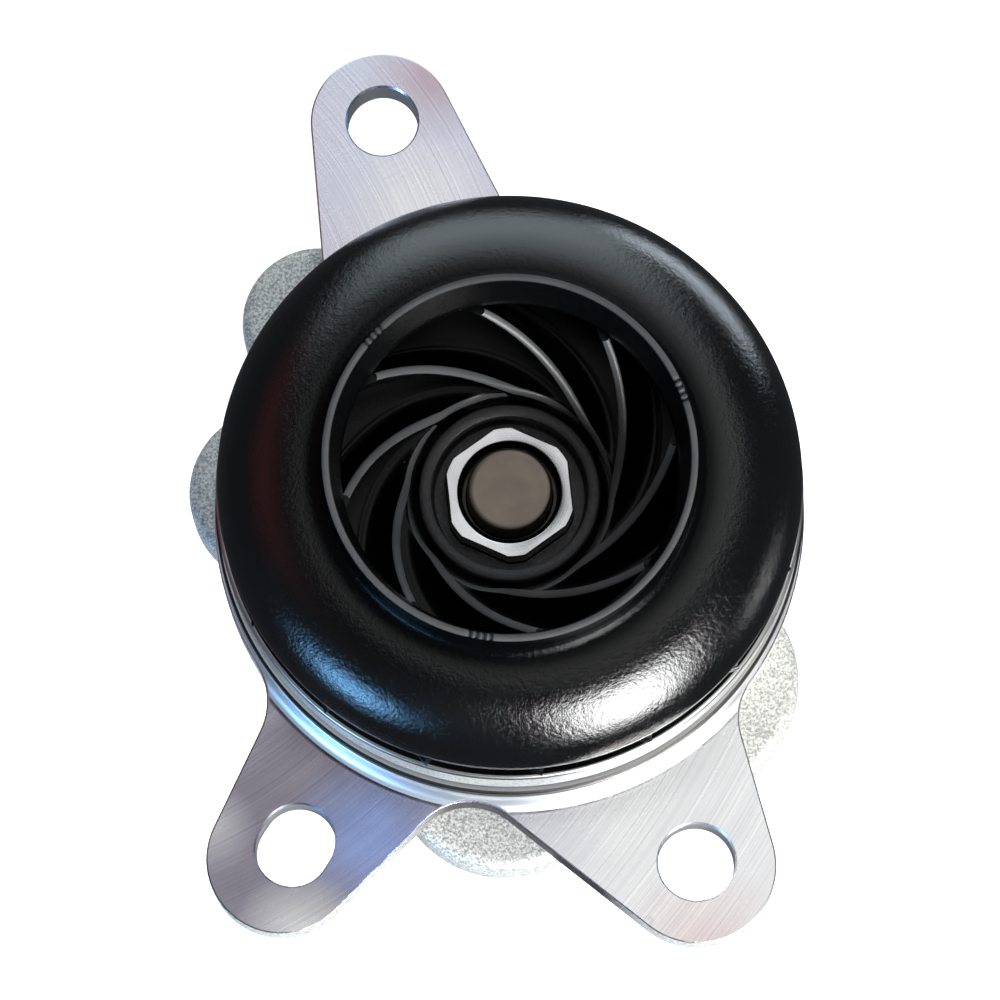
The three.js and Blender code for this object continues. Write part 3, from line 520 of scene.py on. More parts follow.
def boss_moulding():
    """The impeller's rough centre: dark, with grains painted bright as glints."""
    material, tree, bsdf = new_material("boss_moulding", (0.01, 0.01, 0.01), 0.0, 0.4)
    at = place(tree)
    grain = noise(tree, at, 1500, 4, 0.75)
    # Bright grains in the base colour stand in for glints: painted highlights on real grain.
    color = blend(tree, span(tree, grain, 0.66, 0.74), (0.028, 0.027, 0.029), (0.6, 0.6, 0.6))
    tree.links.new(color, bsdf.inputs["Base Color"])
    tree.links.new(span(tree, grain, 0.3, 0.7, 0.55, 0.22), bsdf.inputs["Roughness"])
    bump(tree, bsdf, grain, 0.7, 0.2)
    return material


def turned_steel(name, color, rough, pitch, depth):
    """Steel turned or ground about the shaft, with fine rings and faint stains."""
    material, tree, bsdf = new_material(name, color, 1.0, rough)
    at = place(tree)
    marks = rings_about(tree, at, (0, 0, 0), pitch)
    side = noise(tree, along_line(tree, height_of(tree, at)), 3500, 3, 0.7)
    stain = noise(tree, at, 150, 5)
    dark = tuple(0.72 * c for c in color)
    tree.links.new(blend(tree, span(tree, stain, 0.35, 0.7), color, dark), bsdf.inputs["Base Color"])
    tree.links.new(span(tree, marks, 0.3, 0.7, rough - 0.06, rough + 0.1), bsdf.inputs["Roughness"])
    first = bump(tree, bsdf, marks, depth, 0.03)
    bump(tree, bsdf, side, depth * 0.6, 0.03, first)
    return material


def soft_material(name, color, rough, grain_scale, grain_depth):
    """Rubber, carbon, ceramic or cage plastic: a fine grain and slight mottling."""
    material, tree, bsdf = new_material(name, color, 0.0, rough)
    at = place(tree)
    grain = noise(tree, at, grain_scale, 4, 0.65)
    mottle = noise(tree, at, 120, 4)
    light = tuple(min(1.0, 1.35 * c + 0.004) for c in color)
    tree.links.new(blend(tree, span(tree, mottle, 0.35, 0.7), color, light), bsdf.inputs["Base Color"])
    tree.links.new(span(tree, grain, 0.3, 0.7, rough - 0.06, rough + 0.1), bsdf.inputs["Roughness"])
    bump(tree, bsdf, grain, grain_depth, 0.05)
    return material


# ---- Housing -----------------------------------------------------------------------------------

def direction(degrees):
    return Vector((math.cos(math.radians(degrees)), math.sin(math.radians(degrees))))


def arc(centre, radius, start, end, step=3.0):
    """Points along an arc in degrees, from start towards end, without the last one."""
    count = max(1, round(abs(end - start) / step))
    return [tuple(Vector(centre) + radius * direction(start + (end - start) * i / count))
            for i in range(count)]


def root_fillet(ear, normal_degrees, radius, side):
    """Centre, radius, direction from the shaft and edge direction of the fillet beside an ear."""
    normal = direction(normal_degrees)
    along = Vector((-normal.y, normal.x))
    reach = ear["radius"] - OUTLINE_INSET + radius + Vector(ear["end"]).dot(normal)
    rise = math.sqrt((WAIST_RADIUS - OUTLINE_INSET + radius) ** 2 - reach ** 2)
    centre = normal * reach + along * side * rise
    return centre, radius, math.degrees(math.atan2(centre.y, centre.x)), normal_degrees


def after(angle, start):
    """The angle, turned on by whole circles until it follows start."""
    return start + (angle - start) % 360


def plate_outline():
    """The waist circle and three ears, joined by root fillets."""
    corners = [(ear, root_fillet(ear, ear["right"], ear["fillets"][0], 1),
                root_fillet(ear, ear["left"], ear["fillets"][1], -1)) for ear in EARS]
    points = []
    for i, (ear, right, left) in enumerate(corners):
        centre, radius, waist, edge = right
        points += arc(centre, radius, after(waist + 180, edge + 180), edge + 180)
        points.append(tuple(centre - radius * direction(edge)))
        end_radius = ear["radius"] - OUTLINE_INSET
        points += arc(ear["end"], end_radius, edge, after(left[3], edge))
        points.append(tuple(Vector(ear["end"]) + end_radius * direction(left[3])))
        centre, radius, waist, edge = left
        points += arc(centre, radius, after(edge + 180, waist + 180), waist + 180)
        next_waist = corners[(i + 1) % len(corners)][1][2]
        points += arc((0, 0), WAIST_RADIUS - OUTLINE_INSET, waist, after(next_waist, waist))
    return points


def hole_outline(ear):
    """A circle, or a short slot along the line to the shaft."""
    toward = -Vector(ear["hole"]).normalized() * ear["slot"] / 2
    turn = math.degrees(math.atan2(toward.y, toward.x)) if ear["slot"] else 0.0
    centre = Vector(ear["hole"])
    return (arc(centre + toward, ear["hole_radius"], turn - 90, turn + 90)
            + arc(centre - toward, ear["hole_radius"], turn + 90, turn + 270))


def machined_housing():
    """Plate with its three ears, pilot, seal groove and chamber."""
    outline = plate_outline()
    plate = prism("housing_machined", outline, (
        (-0.5, EAR_BACK_Z), (-0.15, EAR_BACK_Z + 0.15), (0, EAR_BACK_Z + 0.5),
        (0, EAR_FACE_Z - 0.25), (-0.07, EAR_FACE_Z - 0.07), (-0.25, EAR_FACE_Z)))
    fillet = [(PILOT_RADIUS + (PILOT_FOOT_RADIUS - PILOT_RADIUS) * (1 - math.sin(a)),
               EAR_FACE_Z + FILLET_RISE * (1 - math.cos(a)))
              for a in (math.radians(9 * k) for k in range(11))]
    lip = [(PILOT_RADIUS, GROOVE_LOW_Z - 0.1), (PILOT_RADIUS - 0.1, GROOVE_LOW_Z),
           (GROOVE_FLOOR, GROOVE_LOW_Z), (GROOVE_FLOOR, GROOVE_HIGH_Z), (PILOT_RADIUS - 0.1, GROOVE_HIGH_Z),
           (PILOT_RADIUS, GROOVE_HIGH_Z + 0.1), (PILOT_RADIUS, PILOT_TOP_Z - 0.4),
           (PILOT_RADIUS - 0.12, PILOT_TOP_Z - 0.12), (PILOT_RADIUS - 0.4, PILOT_TOP_Z)]
    pilot = lathe("pilot", [(0, 64.0), (PILOT_FOOT_RADIUS, 64.0)] + fillet + lip + [(0, PILOT_TOP_Z)], 256)
    combine(pilot, prism("trim", outline, ((-0.4, 63.0), (-0.4, 77.0))), "INTERSECT")
    combine(plate, pilot, "UNION")
    for ear in EARS:
        combine(plate, prism("drill", hole_outline(ear), (
            (0.4, EAR_BACK_Z - 0.1), (0, EAR_BACK_Z + 0.4), (0, EAR_FACE_Z - 0.3),
            (0.35, EAR_FACE_Z + 0.1))), "DIFFERENCE")
    combine(plate, lathe("bores", BORE_PROFILE, 256), "DIFFERENCE")
    finish_piece(plate, "housing", "cast_aluminium", (MILLED, PLATE_WALL_SHADED, TURNED, SHADE_STEEL),
                 "pump_body", sharp=10)
    for face in plate.data.polygons:
        face.material_index = housing_finish(face)


def housing_finish(face):
    """0 milled plate face, 1 cast wall (painted shade in the valley), 2 turned surface, 3 lip over the seal
    groove, painted dark as shade.
    """
    x, y, z = (c / MM for c in face.center)
    radius = math.hypot(x, y)
    if face.normal.z > 0.9 and abs(z - EAR_FACE_Z) < 0.1:
        return 0
    # The lip over the seal groove gets dark steel as painted shade.
    if radius > PILOT_RADIUS - 1 and z > GROOVE_HIGH_Z:
        return 3
    if radius < PILOT_FOOT_RADIUS + 0.1 and z > EAR_FACE_Z:
        return 2
    if radius < CHAMBER_RADIUS and z > EAR_BACK_Z + 0.1:
        return 2
    if abs(face.normal.z) > 0.5:
        return 0
    return 2 if is_in_hole(face.center) else 1


def is_in_hole(point):
    return any((Vector(point[:2]) / MM - Vector(ear["hole"])).length < ear["hole_radius"] + ear["slot"]
               for ear in EARS)


def rib(turn):
    """A web between barrel and flange, with a hollow-curved free edge."""
    root, foot, outer = BARREL_RADIUS - 3, BARREL_RADIUS + 1.5, FLANGE_RADIUS - 3
    edge = [(root, RIB_START_Z), (foot, RIB_START_Z)]
    for k in range(1, 13):
        u = k / 12
        r = (1 - u) ** 2 * foot + 2 * u * (1 - u) * RIB_BELLY[0] + u ** 2 * outer
        z = (1 - u) ** 2 * RIB_START_Z + 2 * u * (1 - u) * RIB_BELLY[1] + u ** 2 * FLANGE_BACK_Z
        edge.append((r, z))
    edge += [(outer, FLANGE_BACK_Z + 3), (root, FLANGE_BACK_Z + 3)]
    count = len(edge)
    verts = [(r, side * RIB_THICKNESS / 2, z) for side in (-1, 1) for r, z in edge]
    faces = [tuple(range(count)), tuple(range(count, 2 * count))]
    faces += [(i, (i + 1) % count, (i + 1) % count + count, i + count) for i in range(count)]
    web = mesh_object("rib", verts, faces)
    web.data.transform(Matrix.Rotation(turn, 4, "Z"))
    return web


def cast_housing():
    """The shot-blasted rear: flange, lobes, cone, barrel and ribs, run together like a casting."""
    top = EAR_BACK_Z + 1.0
    parts = [lathe("rear", rounded([
        (0, BARREL_END_Z), (BARREL_RADIUS, BARREL_END_Z), (BARREL_RADIUS + 0.9, 40.0), (28.4, 50.0),
        (FLANGE_RADIUS - 1.8, FLANGE_BACK_Z), (FLANGE_RADIUS, FLANGE_BACK_Z + 2),
        (FLANGE_RADIUS, top), (0, top)], 1.0, closed=False), 128)]
    for x, y, radius in LOBES:
        lobe = lathe("lobe", rounded([
            (0, FLANGE_BACK_Z + 1), (radius, FLANGE_BACK_Z + 1), (radius, top), (0, top)],
            1.6, closed=False, segments=6), 96)
        lobe.data.transform(Matrix.Translation((x * MM, y * MM, 0)))
        parts.append(lobe)
    parts += [rib(i * 2 * math.pi / RIB_COUNT) for i in range(RIB_COUNT)]
    body = join("housing_cast", parts)
    voxels = body.modifiers.new("voxels", "REMESH")
    voxels.mode = "VOXEL"
    voxels.voxel_size = CAST_VOXEL * MM
    soften = body.modifiers.new("soften", "SMOOTH")
    soften.iterations = 6
    bake(body)
    combine(body, lathe("bores", BORE_PROFILE, 128), "DIFFERENCE")
    weep = lathe("weep", ((0, -60), (WEEP_RADIUS, -60), (WEEP_RADIUS, 60), (0, 60)), 48)
    weep.data.transform(Matrix.Rotation(math.pi / 2, 4, "X"))
    weep.data.transform(Matrix.Translation((0, 0, WEEP_Z * MM)))
    combine(body, weep, "DIFFERENCE")
    finish_piece(body, "housing", "cast_aluminium", (CAST, TURNED), sharp=50)
    for face in body.data.polygons:
        radius = math.hypot(face.center.x, face.center.y) / MM
        face.material_index = 1 if radius < BARREL_RADIUS - 0.6 else 0


def o_ring():
    centre, z, wire = GROOVE_FLOOR + 0.95, (GROOVE_LOW_Z + GROOVE_HIGH_Z) / 2, 0.88
    section = [(centre + wire * math.cos(a), z + wire * math.sin(a))
               for a in (2 * math.pi * k / 20 for k in range(20))]
    finish_piece(lathe("o_ring", section, 192), "housing", "seal_rubber", (RUBBER,), "body_o_ring")


# ---- Bearing and shaft -------------------------------------------------------------------------

def race(z, edge, side):
    """Curved ball track in the section of a ring, from low z to high z."""
    reach = math.acos(min(1.0, side * (BALL_CIRCLE - edge) / TRACK_RADIUS))
    turns = [reach * (k / 6 - 1) for k in range(13)]
    return [(BALL_CIRCLE - side * TRACK_RADIUS * math.cos(a), z + TRACK_RADIUS * math.sin(a)) for a in turns]


def bearing_outer_ring():
    profile = rounded([(RING_INNER, RING_LOW_Z), (RING_OUTER, RING_LOW_Z),
                       (RING_OUTER, RING_HIGH_Z), (RING_INNER, RING_HIGH_Z)], 0.5)
    tracks = race(BALL_ROWS["front"], RING_INNER, -1)[::-1] + race(BALL_ROWS["rear"], RING_INNER, -1)[::-1]
    finish_piece(lathe("bearing_outer", profile + tracks, 128), "housing", "bearing_steel",
                 (BEARING,), "bearing_outer_ring")


def end_seal(name, low, facing):
    """Shielded lip seal: a stepped rubber washer."""
    high = low + SEAL_THICKNESS
    face = high if facing > 0 else low
    back = low if facing > 0 else high
    profile = [(8.2, back), (11.9, back), (11.9, face), (10.9, face), (10.6, face - facing * 0.35),
               (9.3, face - facing * 0.35), (9.0, face), (8.4, face), (8.2, face - facing * 0.4)]
    finish_piece(lathe(name, rounded(profile, 0.15), 96), "housing", "seal_rubber", (RUBBER,), name)


def ball_centres(z):
    for i in range(BALL_COUNT):
        angle = 2 * math.pi * i / BALL_COUNT
        yield BALL_CIRCLE * math.cos(angle), BALL_CIRCLE * math.sin(angle), z


def balls(row, z):
    for i, centre in enumerate(ball_centres(z), 1):
        ball = sphere(f"ball_{row}_{i}", BALL_RADIUS * 0.998, centre, 20)
        finish_piece(ball, f"{row}_ball_row", "bearing_steel", (BEARING,), f"bearing_ball_{row}_{i}")


def cage(row, z, facing):
    """Snap cage with a round pocket for each ball, open on the side it faces."""
    low, high = sorted((z - facing * CAGE_BACK, z + facing * CAGE_FRONT))
    ring = lathe("cage_" + row, rounded([(CAGE_INNER, low), (CAGE_OUTER, low), (CAGE_OUTER, high),
                                         (CAGE_INNER, high)], 0.3), 144)
    for centre in ball_centres(z):
        combine(ring, sphere("pocket", POCKET_RADIUS, centre, 16), "DIFFERENCE")
    finish_piece(ring, f"{row}_ball_row", "cage_polymer", (CAGE,), "bearing_cage_" + row)


def shaft():
    """Stepped steel shaft with both ball tracks, a centre drilling and a ground nose."""
    tracks = race(BALL_ROWS["rear"], SHAFT_RADIUS, 1) + race(BALL_ROWS["front"], SHAFT_RADIUS, 1)
    foot = [(0, 1.6), (1.2, 0.9), (2.0, 0), (7.5, 0), (7.86, 0.14), (SHAFT_RADIUS, 0.5)]
    step = [(SHAFT_RADIUS, SHAFT_STEP_Z - 0.4), (7.9, SHAFT_STEP_Z),
            (NOSE_RADIUS + 0.2, SHAFT_STEP_Z + 1), (NOSE_RADIUS, SHAFT_STEP_Z + 1.2)]
    nose = [(NOSE_RADIUS, SHAFT_TOP_Z - 0.45), (NOSE_RADIUS - 0.1, SHAFT_TOP_Z - 0.2),
            (NOSE_RADIUS - 0.4, SHAFT_TOP_Z), (5.0, SHAFT_TOP_Z), (2.0, SHAFT_TOP_Z - 0.02),
            (0, SHAFT_TOP_Z - 0.03)]
    piece = lathe("shaft_piece", foot + tracks + step + nose, 128)
    finish_piece(piece, "rotor", "shaft_steel", (SHAFT,), "shaft")


def drive_hub():
    """Pulley flange pressed on the shaft, with four countersunk holes."""
    profile = rounded([(HUB_BORE, 0), (HUB_RADIUS, 0), (HUB_RADIUS, HUB_PLATE),
                       (HUB_SLEEVE_RADIUS, HUB_PLATE), (HUB_SLEEVE_RADIUS, HUB_SLEEVE_END_Z),
                       (HUB_BORE, HUB_SLEEVE_END_Z)], 0.7)
    hub = lathe("drive_hub_piece", profile, 160)
    sunk = HUB_HOLE_RADIUS + 0.6
    for i in range(HUB_HOLE_COUNT):
        centre = HUB_HOLE_CIRCLE * direction(45 + 360 / HUB_HOLE_COUNT * i)
        drill = lathe("drill", (
            (0, -0.2), (sunk, -0.2), (HUB_HOLE_RADIUS, 0.4), (HUB_HOLE_RADIUS, HUB_PLATE - 0.4),
            (sunk, HUB_PLATE + 0.2), (0, HUB_PLATE + 0.2)), 48)
        drill.data.transform(Matrix.Translation((*(centre * MM), 0)))
        combine(hub, drill, "DIFFERENCE")
    finish_piece(hub, "rotor", "hub_steel", (HUB,), "drive_hub")


def slinger():
    """Coned rubber ring that throws leaked coolant to the weep hole."""
    profile = [(8.15, 48.9), (9.6, 48.9), (12.2, 50.4), (12.2, 51.2), (8.15, 51.2)]
    finish_piece(lathe("slinger_piece", rounded(profile, 0.3), 96), "rotor", "seal_rubber",
                 (RUBBER,), "slinger_ring")


# ---- Mechanical seal ---------------------------------------------------------------------------

def seal_case():
    """Pressed steel cup with a turned-out brim."""
    profile = [(8.5, 52.8), (15.1, 52.8), (15.1, 61.3), (18.2, 61.3), (18.2, 62.2), (14.2, 62.2),
               (14.2, 53.7), (8.5, 53.7)]
    finish_piece(lathe("seal_case_piece", rounded(profile, 0.4), 128), "housing", "seal_case_steel",
                 (CASE,), "seal_case")


def seal_bellows():
    """Folded rubber sleeve that leaves the carbon ring room for its 1 mm travel."""
    profile = [(8.6, 53.9), (10.6, 53.9), (10.6, 56.4), (9.4, 57.3), (10.6, 58.2), (10.6, 59.6),
               (9.4, 60.5), (10.6, 61.4), (10.6, 62.4), (8.6, 62.4)]
    finish_piece(lathe("seal_bellows_piece", rounded(profile, 0.5), 96), "housing", "seal_rubber",
                 (RUBBER,), "seal_bellows")


def seal_spring():
    """Round wire wound as an open coil."""
    steps, sides = 252, 14
    verts, faces = [], []
    for i in range(steps + 1):
        angle = 2 * math.pi * SPRING_TURNS * i / steps
        z = SPRING_LOW_Z + (SPRING_HIGH_Z - SPRING_LOW_Z) * i / steps
        for k in range(sides):
            b = 2 * math.pi * k / sides
            r = SPRING_RADIUS + SPRING_WIRE * math.cos(b)
            verts.append((r * math.cos(angle), r * math.sin(angle), z + SPRING_WIRE * math.sin(b)))
    for i in range(steps):
        for k in range(sides):
            n = (k + 1) % sides
            faces.append((i * sides + k, i * sides + n, (i + 1) * sides + n, (i + 1) * sides + k))
    faces += [tuple(range(sides)), tuple(range(steps * sides, (steps + 1) * sides))]
    finish_piece(mesh_object("seal_spring_piece", verts, faces), "housing", "spring_steel",
                 (SPRING,), "seal_spring")


def seal_rings():
    """The sliding carbon ring, and the turning ceramic ring in its rubber cup."""
    carbon = [(7.6, 63.6), (13.6, 63.6), (13.6, 65.9), (10.8, 65.9),
              (10.8, 69.2), (8.2, 69.2), (7.6, 66.6)]
    finish_piece(lathe("seal_carbon_piece", rounded(carbon, 0.15), 128), "sliding_seal", "seal_carbon",
                 (CARBON,), "seal_carbon_ring")
    mating = [(7.1, 69.3), (12.1, 69.3), (12.1, 72.7), (7.1, 72.7)]
    finish_piece(lathe("seal_mating_piece", rounded(mating, 0.2), 128), "rotor", "seal_ceramic",
                 (CERAMIC,), "seal_mating_ring")
    cup = [(6.25, 69.7), (6.9, 69.7), (6.9, 72.8), (12.3, 72.8), (12.3, 70.2), (13.2, 70.2),
           (13.2, 73.7), (6.25, 73.7)]
    finish_piece(lathe("seal_cup_piece", rounded(cup, 0.2), 128), "rotor", "seal_rubber",
                 (RUBBER,), "seal_seat_cup")


# ---- Impeller ----------------------------------------------------------------------------------

def clamp(value, low=0.0, high=1.0):
    return max(low, min(high, value))


def disc_top(radius):
    """Height of the hub disc's upper face."""
    return DISC_ROOT_Z + (DISC_RIM_Z - DISC_ROOT_Z) * clamp(
        (radius - DISC_ROOT_RADIUS) / (DISC_RADIUS - DISC_ROOT_RADIUS)) ** 1.3


def shroud_under(radius):
    """Height of the shroud's lower face."""
    return SHROUD_UNDER_Z - (SHROUD_UNDER_Z - OUTLET_TOP_Z) * clamp(
        (radius - SHROUD_UNDER_START) / (IMPELLER_RADIUS - SHROUD_UNDER_START)) ** 2.2


def vane_point(share, flow, start_radius):
    """Point on a vane's middle surface; share runs from the disc to the shroud, flow from inlet to rim."""
    edge_sweep = VANE_EDGE_SWEEP * share ** 0.52
    bend = max(0.0, (edge_sweep - VANE_STRAIGHT_SWEEP) / (VANE_EDGE_SWEEP - VANE_STRAIGHT_SWEEP)) ** 1.5
    edge_radius = VANE_HUB_RADIUS + (VANE_SHROUD_RADIUS - VANE_HUB_RADIUS) * bend
    start = max(edge_radius, start_radius)
    radius = start + (VANE_TIP_RADIUS - start) * flow
    wind = math.log(radius / edge_radius) / math.log(VANE_TIP_RADIUS / edge_radius)
    angle = math.radians(edge_sweep + (VANE_TIP_SWEEP - edge_sweep) * wind)
    z = disc_top(radius) + (shroud_under(radius) - SHROUD_GAP - disc_top(radius)) * share
    return Vector((radius * math.cos(angle), radius * math.sin(angle), z))


def vane(turn, start_radius):
    """Blade with a rounded inlet edge and a moulded fillet where it stands on the disc."""
    def middle(share, flow):
        return vane_point(clamp(share), clamp(flow), start_radius)

    rows, columns, step = 22, 34, 0.004
    front, back = [], []
    for i in range(rows + 1):
        share = (i / rows) ** 2
        sides = ([], [])
        for j in range(columns + 1):
            flow = (j / columns) ** 1.7
            point = middle(share, flow)
            up = middle(share + step, flow) - middle(share - step, flow)
            on = middle(share, flow + step) - middle(share, flow - step)
            normal = on.cross(up).normalized()
            travel = (point - middle(share, 0)).length
            nose = 1 - clamp(travel / (0.5 * VANE_THICKNESS))
            height = point.z - disc_top(math.hypot(point.x, point.y))
            foot = 1.3 * math.exp(-height / 0.45) * (1 - nose)
            width = VANE_THICKNESS * math.sqrt(1 - nose ** 2 * 0.96) + foot
            for sign, side in zip((1, -1), sides):
                edge = point + normal * sign * width / 2
                roof = shroud_under(math.hypot(edge.x, edge.y)) - SHROUD_GAP
                side.append(Vector((edge.x, edge.y, min(edge.z, roof))))
        front.append(sides[0])
        back.append(sides[1])
    front.insert(0, [p - Vector((0, 0, 1)) for p in front[0]])
    back.insert(0, [p - Vector((0, 0, 1)) for p in back[0]])
    return grid_solid("vane", front, back, turn)


def grid_solid(name, front, back, turn):
    """Closed solid between two grids of points; its first columns carry the second material, a painted
    highlight on the inlet edge.
    """
    rows, columns = len(front), len(front[0])
    size = rows * columns
    verts = [tuple(p) for grid in (front, back) for row in grid for p in row]
    faces, nose = [], []
    for i in range(rows - 1):
        for j in range(columns - 1):
            a = i * columns + j
            faces.append((a, a + 1, a + columns + 1, a + columns))
            faces.append((size + a, size + a + columns, size + a + columns + 1, size + a + 1))
            nose += [int(j < NOSE_COLUMNS)] * 2
    for j in range(columns - 1):
        for a in (j, (rows - 1) * columns + j):
            faces.append((a, size + a, size + a + 1, a + 1))
            nose.append(0)
    for i in range(rows - 1):
        for a in (i * columns, i * columns + columns - 1):
            faces.append((a, a + columns, size + a + columns, size + a))
            nose.append(int(a == i * columns))
    solid = mesh_object(name, verts, faces)
    solid.data.polygons.foreach_set("material_index", nose)
    solid.data.transform(Matrix.Rotation(turn, 4, "Z"))
    return solid


def hex_limit(angle, flat, corner):
    """Radius of a hexagon with turned corners, in the direction of angle."""
    turned = (angle - math.radians(HEX_TURN + 90)) % (math.pi / 3) - math.pi / 6
    return min(corner, flat / math.cos(turned))


def hex_ring(name, profile, flat, corner):
    """A ring with a hexagonal outer wall; the profile gives the wall where it meets a corner."""
    def shape(angle, r, z):
        return (r + hex_limit(angle, flat, corner) - corner if r > flat - 0.5 else r), z
    return lathe(name, profile, 720, shape)


def impeller_back():
    """Hub disc, boss and vanes, moulded in one piece."""
    top = [(r, disc_top(r)) for r in (*range(41, 16, -2), 15.5, 14.3)]
    under = [(0, 74.0), (15.6, 74.0), (16.0, 74.4), (16.4, 77.6), (39.0, 81.6), (39.4, 81.2), (39.4, 78.2)]
    rim = [(39.6, 78.0), (DISC_RADIUS - 0.2, 78.0), (DISC_RADIUS, 78.2), (DISC_RADIUS, 84.3),
           (DISC_RADIUS - 0.08, 84.6), (DISC_RADIUS - 0.25, 84.8)]
    profile = (under + rim + top
               + [(13.7, 80.72), (13.2, 81.0), (12.95, 81.4), (12.9, 81.6), (12.8, 81.87), (12.6, 82.0),
                  (11.35, 82.0), (11.15, 81.85), (11.1, 81.6), (11.05, 78.8), (10.7, 78.4), (0, 78.4)])
    disc = lathe("impeller_disc_piece", profile, 256)
    flat, corner = HEX_FLAT + HEX_CLEARANCE, HEX_CORNER + HEX_CLEARANCE
    pocket = ((0, 73.0), (corner, 73.0), (corner, 80.0), (0, 80.0))
    combine(disc, hex_ring("pocket", pocket, flat, corner), "DIFFERENCE")
    finish_piece(disc, "rotor", "impeller_black", (BLACK_SATIN, BOSS, RIM_SIDE, RIM_EDGE_HIGHLIGHT),
                 "impeller_back", sharp=40)
    for face in disc.data.polygons:
        radius = math.hypot(face.center.x, face.center.y) / MM
        if radius < 13.0 and face.center.z > 78 * MM:
            face.material_index = 1
        elif radius > 41.0:
            # The rim's top edge gets bright steel as a painted highlight; its side a light grey whose cause
            # is not known.
            face.material_index = 3 if face.center.z > 84.4 * MM else 2
    pitch = 2 * math.pi / VANE_COUNT
    blades = []
    for i in range(VANE_COUNT):
        turn = math.radians(VANE_START) + i * pitch
        blades.append(vane(turn, VANE_HUB_RADIUS))
        blades.append(vane(turn + pitch / 2, SPLITTER_START))
    finish_piece(join("impeller_vanes_piece", blades), "rotor", "impeller_black",
                 (BLACK_SATIN, VANE_EDGE_HIGHLIGHT), sharp=50)


def rim_wear(angle, r, z):
    """Small worn dips in the collar's rim."""
    if z < EYE_TOP_Z - 0.9:
        return r, z
    for mark in RIM_MARKS:
        for part in (-3.4, -1.2, 1.0, 3.2):
            away = abs((math.degrees(angle) - mark - part + 180) % 360 - 180)
            if away < 0.8:
                return r, z - 0.35 * (1 - (away / 0.8) ** 2)
    return r, z


def impeller_shroud():
    """Domed glossy ring with the raised collar of the eye."""
    dome = []
    for k in range(25):
        u = 1 - k / 24
        weights = ((1 - u) ** 3, 3 * u * (1 - u) ** 2, 3 * u ** 2 * (1 - u), u ** 3)
        controls = ((28.2, 100.1), (33.5, 100.1), (39.2, 96.9), (41.0, 91.5))
        dome.append(tuple(sum(w * c[axis] for w, c in zip(weights, controls)) for axis in (0, 1)))
    under = [(r, shroud_under(r)) for r in (25.5, 27, 29, 31, 33, 35, 37, 39, 40.2)]
    rim = [(26.5, 100.55), (26.05, 101.2), (25.9, 102.0), (EYE_RADIUS, 103.5),
           (EYE_RADIUS, EYE_TOP_Z - 0.4), (EYE_RADIUS - 0.08, EYE_TOP_Z - 0.15),
           (EYE_RADIUS - 0.3, EYE_TOP_Z - 0.02), (25.2, EYE_TOP_Z), (24.95, EYE_TOP_Z - 0.1),
           (24.8, EYE_TOP_Z - 0.4)]
    throat = [(24.3, 103.0), (23.7, 100.2), (23.4, 98.7), (23.45, 98.1), (23.8, 97.5), (24.3, 97.1)]
    lip = [(40.7, 89.55), (40.95, 89.7), (41.0, 90.0), (41.0, 90.8)]
    outline = under + lip + dome + [(27.4, 100.2)] + rim + throat
    finish_piece(lathe("impeller_shroud_piece", outline, 720, rim_wear), "rotor", "impeller_black",
                 (BLACK_GLOSS,), "impeller_shroud", sharp=40)


def hex_insert():
    """Turned steel hexagon with turned corners and a counterbored mouth painted dark as shade."""
    edge = [(HEX_CORNER, HEX_TOP_Z - 0.3), (HEX_CORNER - 0.06, HEX_TOP_Z - 0.1),
            (HEX_CORNER - 0.22, HEX_TOP_Z)]
    mouth = [(MOUTH_RADIUS + 0.15, HEX_TOP_Z), (MOUTH_RADIUS, HEX_TOP_Z - 0.05), (7.0, 81.7), (6.8, 81.3)]
    profile = [(6.3, 74.4), (HEX_CORNER, 74.4)] + edge + mouth + [(6.75, 79.3), (6.3, 79.3)]
    insert = hex_ring("hex_insert_piece", profile, HEX_FLAT, HEX_CORNER)
    finish_piece(insert, "rotor", "insert_steel", (INSERT, SHADE_STEEL), "hex_insert", sharp=30)
    for face in insert.data.polygons:
        # Faces inside the mouth get dark steel as painted shade.
        face.material_index = int(math.hypot(face.center.x, face.center.y) < MOUTH_RADIUS * MM)


# ---- Studio ------------------------------------------------------------------------------------

def floor():
    """Pale matt sheet just under the pump, a little self-lit and left out of reflections."""
    corners = [(x * FLOOR_REACH, y * FLOOR_REACH, 0) for x, y in ((-1, -1), (1, -1), (1, 1), (-1, 1))]
    mesh = mesh_object("floor", corners, [(0, 1, 2, 3)])
    material, _, bsdf = new_material("floor_paper", (0.9, 0.9, 0.9), 0.0, 0.9, Specular_IOR_Level=0.0)
    bsdf.inputs["Emission Color"].default_value = (1, 1, 1, 1)
    bsdf.inputs["Emission Strength"].default_value = 0.72
    mesh.data.materials.append(material)
    mesh.visible_glossy = False
    mesh.location.z = -FLOOR_DROP * MM


def panel(name, at, towards, width, height, radiance, color=(1, 1, 1)):
    """Soft rectangular light of a given radiance, facing a point. Sizes in metres."""
    data = bpy.data.lights.new(name, "AREA")
    data.shape = "RECTANGLE"
    data.size = width
    data.size_y = height
    data.energy = math.pi * width * height * radiance
    data.color = color
    light = bpy.data.objects.new(name, data)
    light.location = at
    light.rotation_euler = (Vector(towards) - Vector(at)).to_track_quat("-Z", "Y").to_euler()
    bpy.context.scene.collection.objects.link(light)


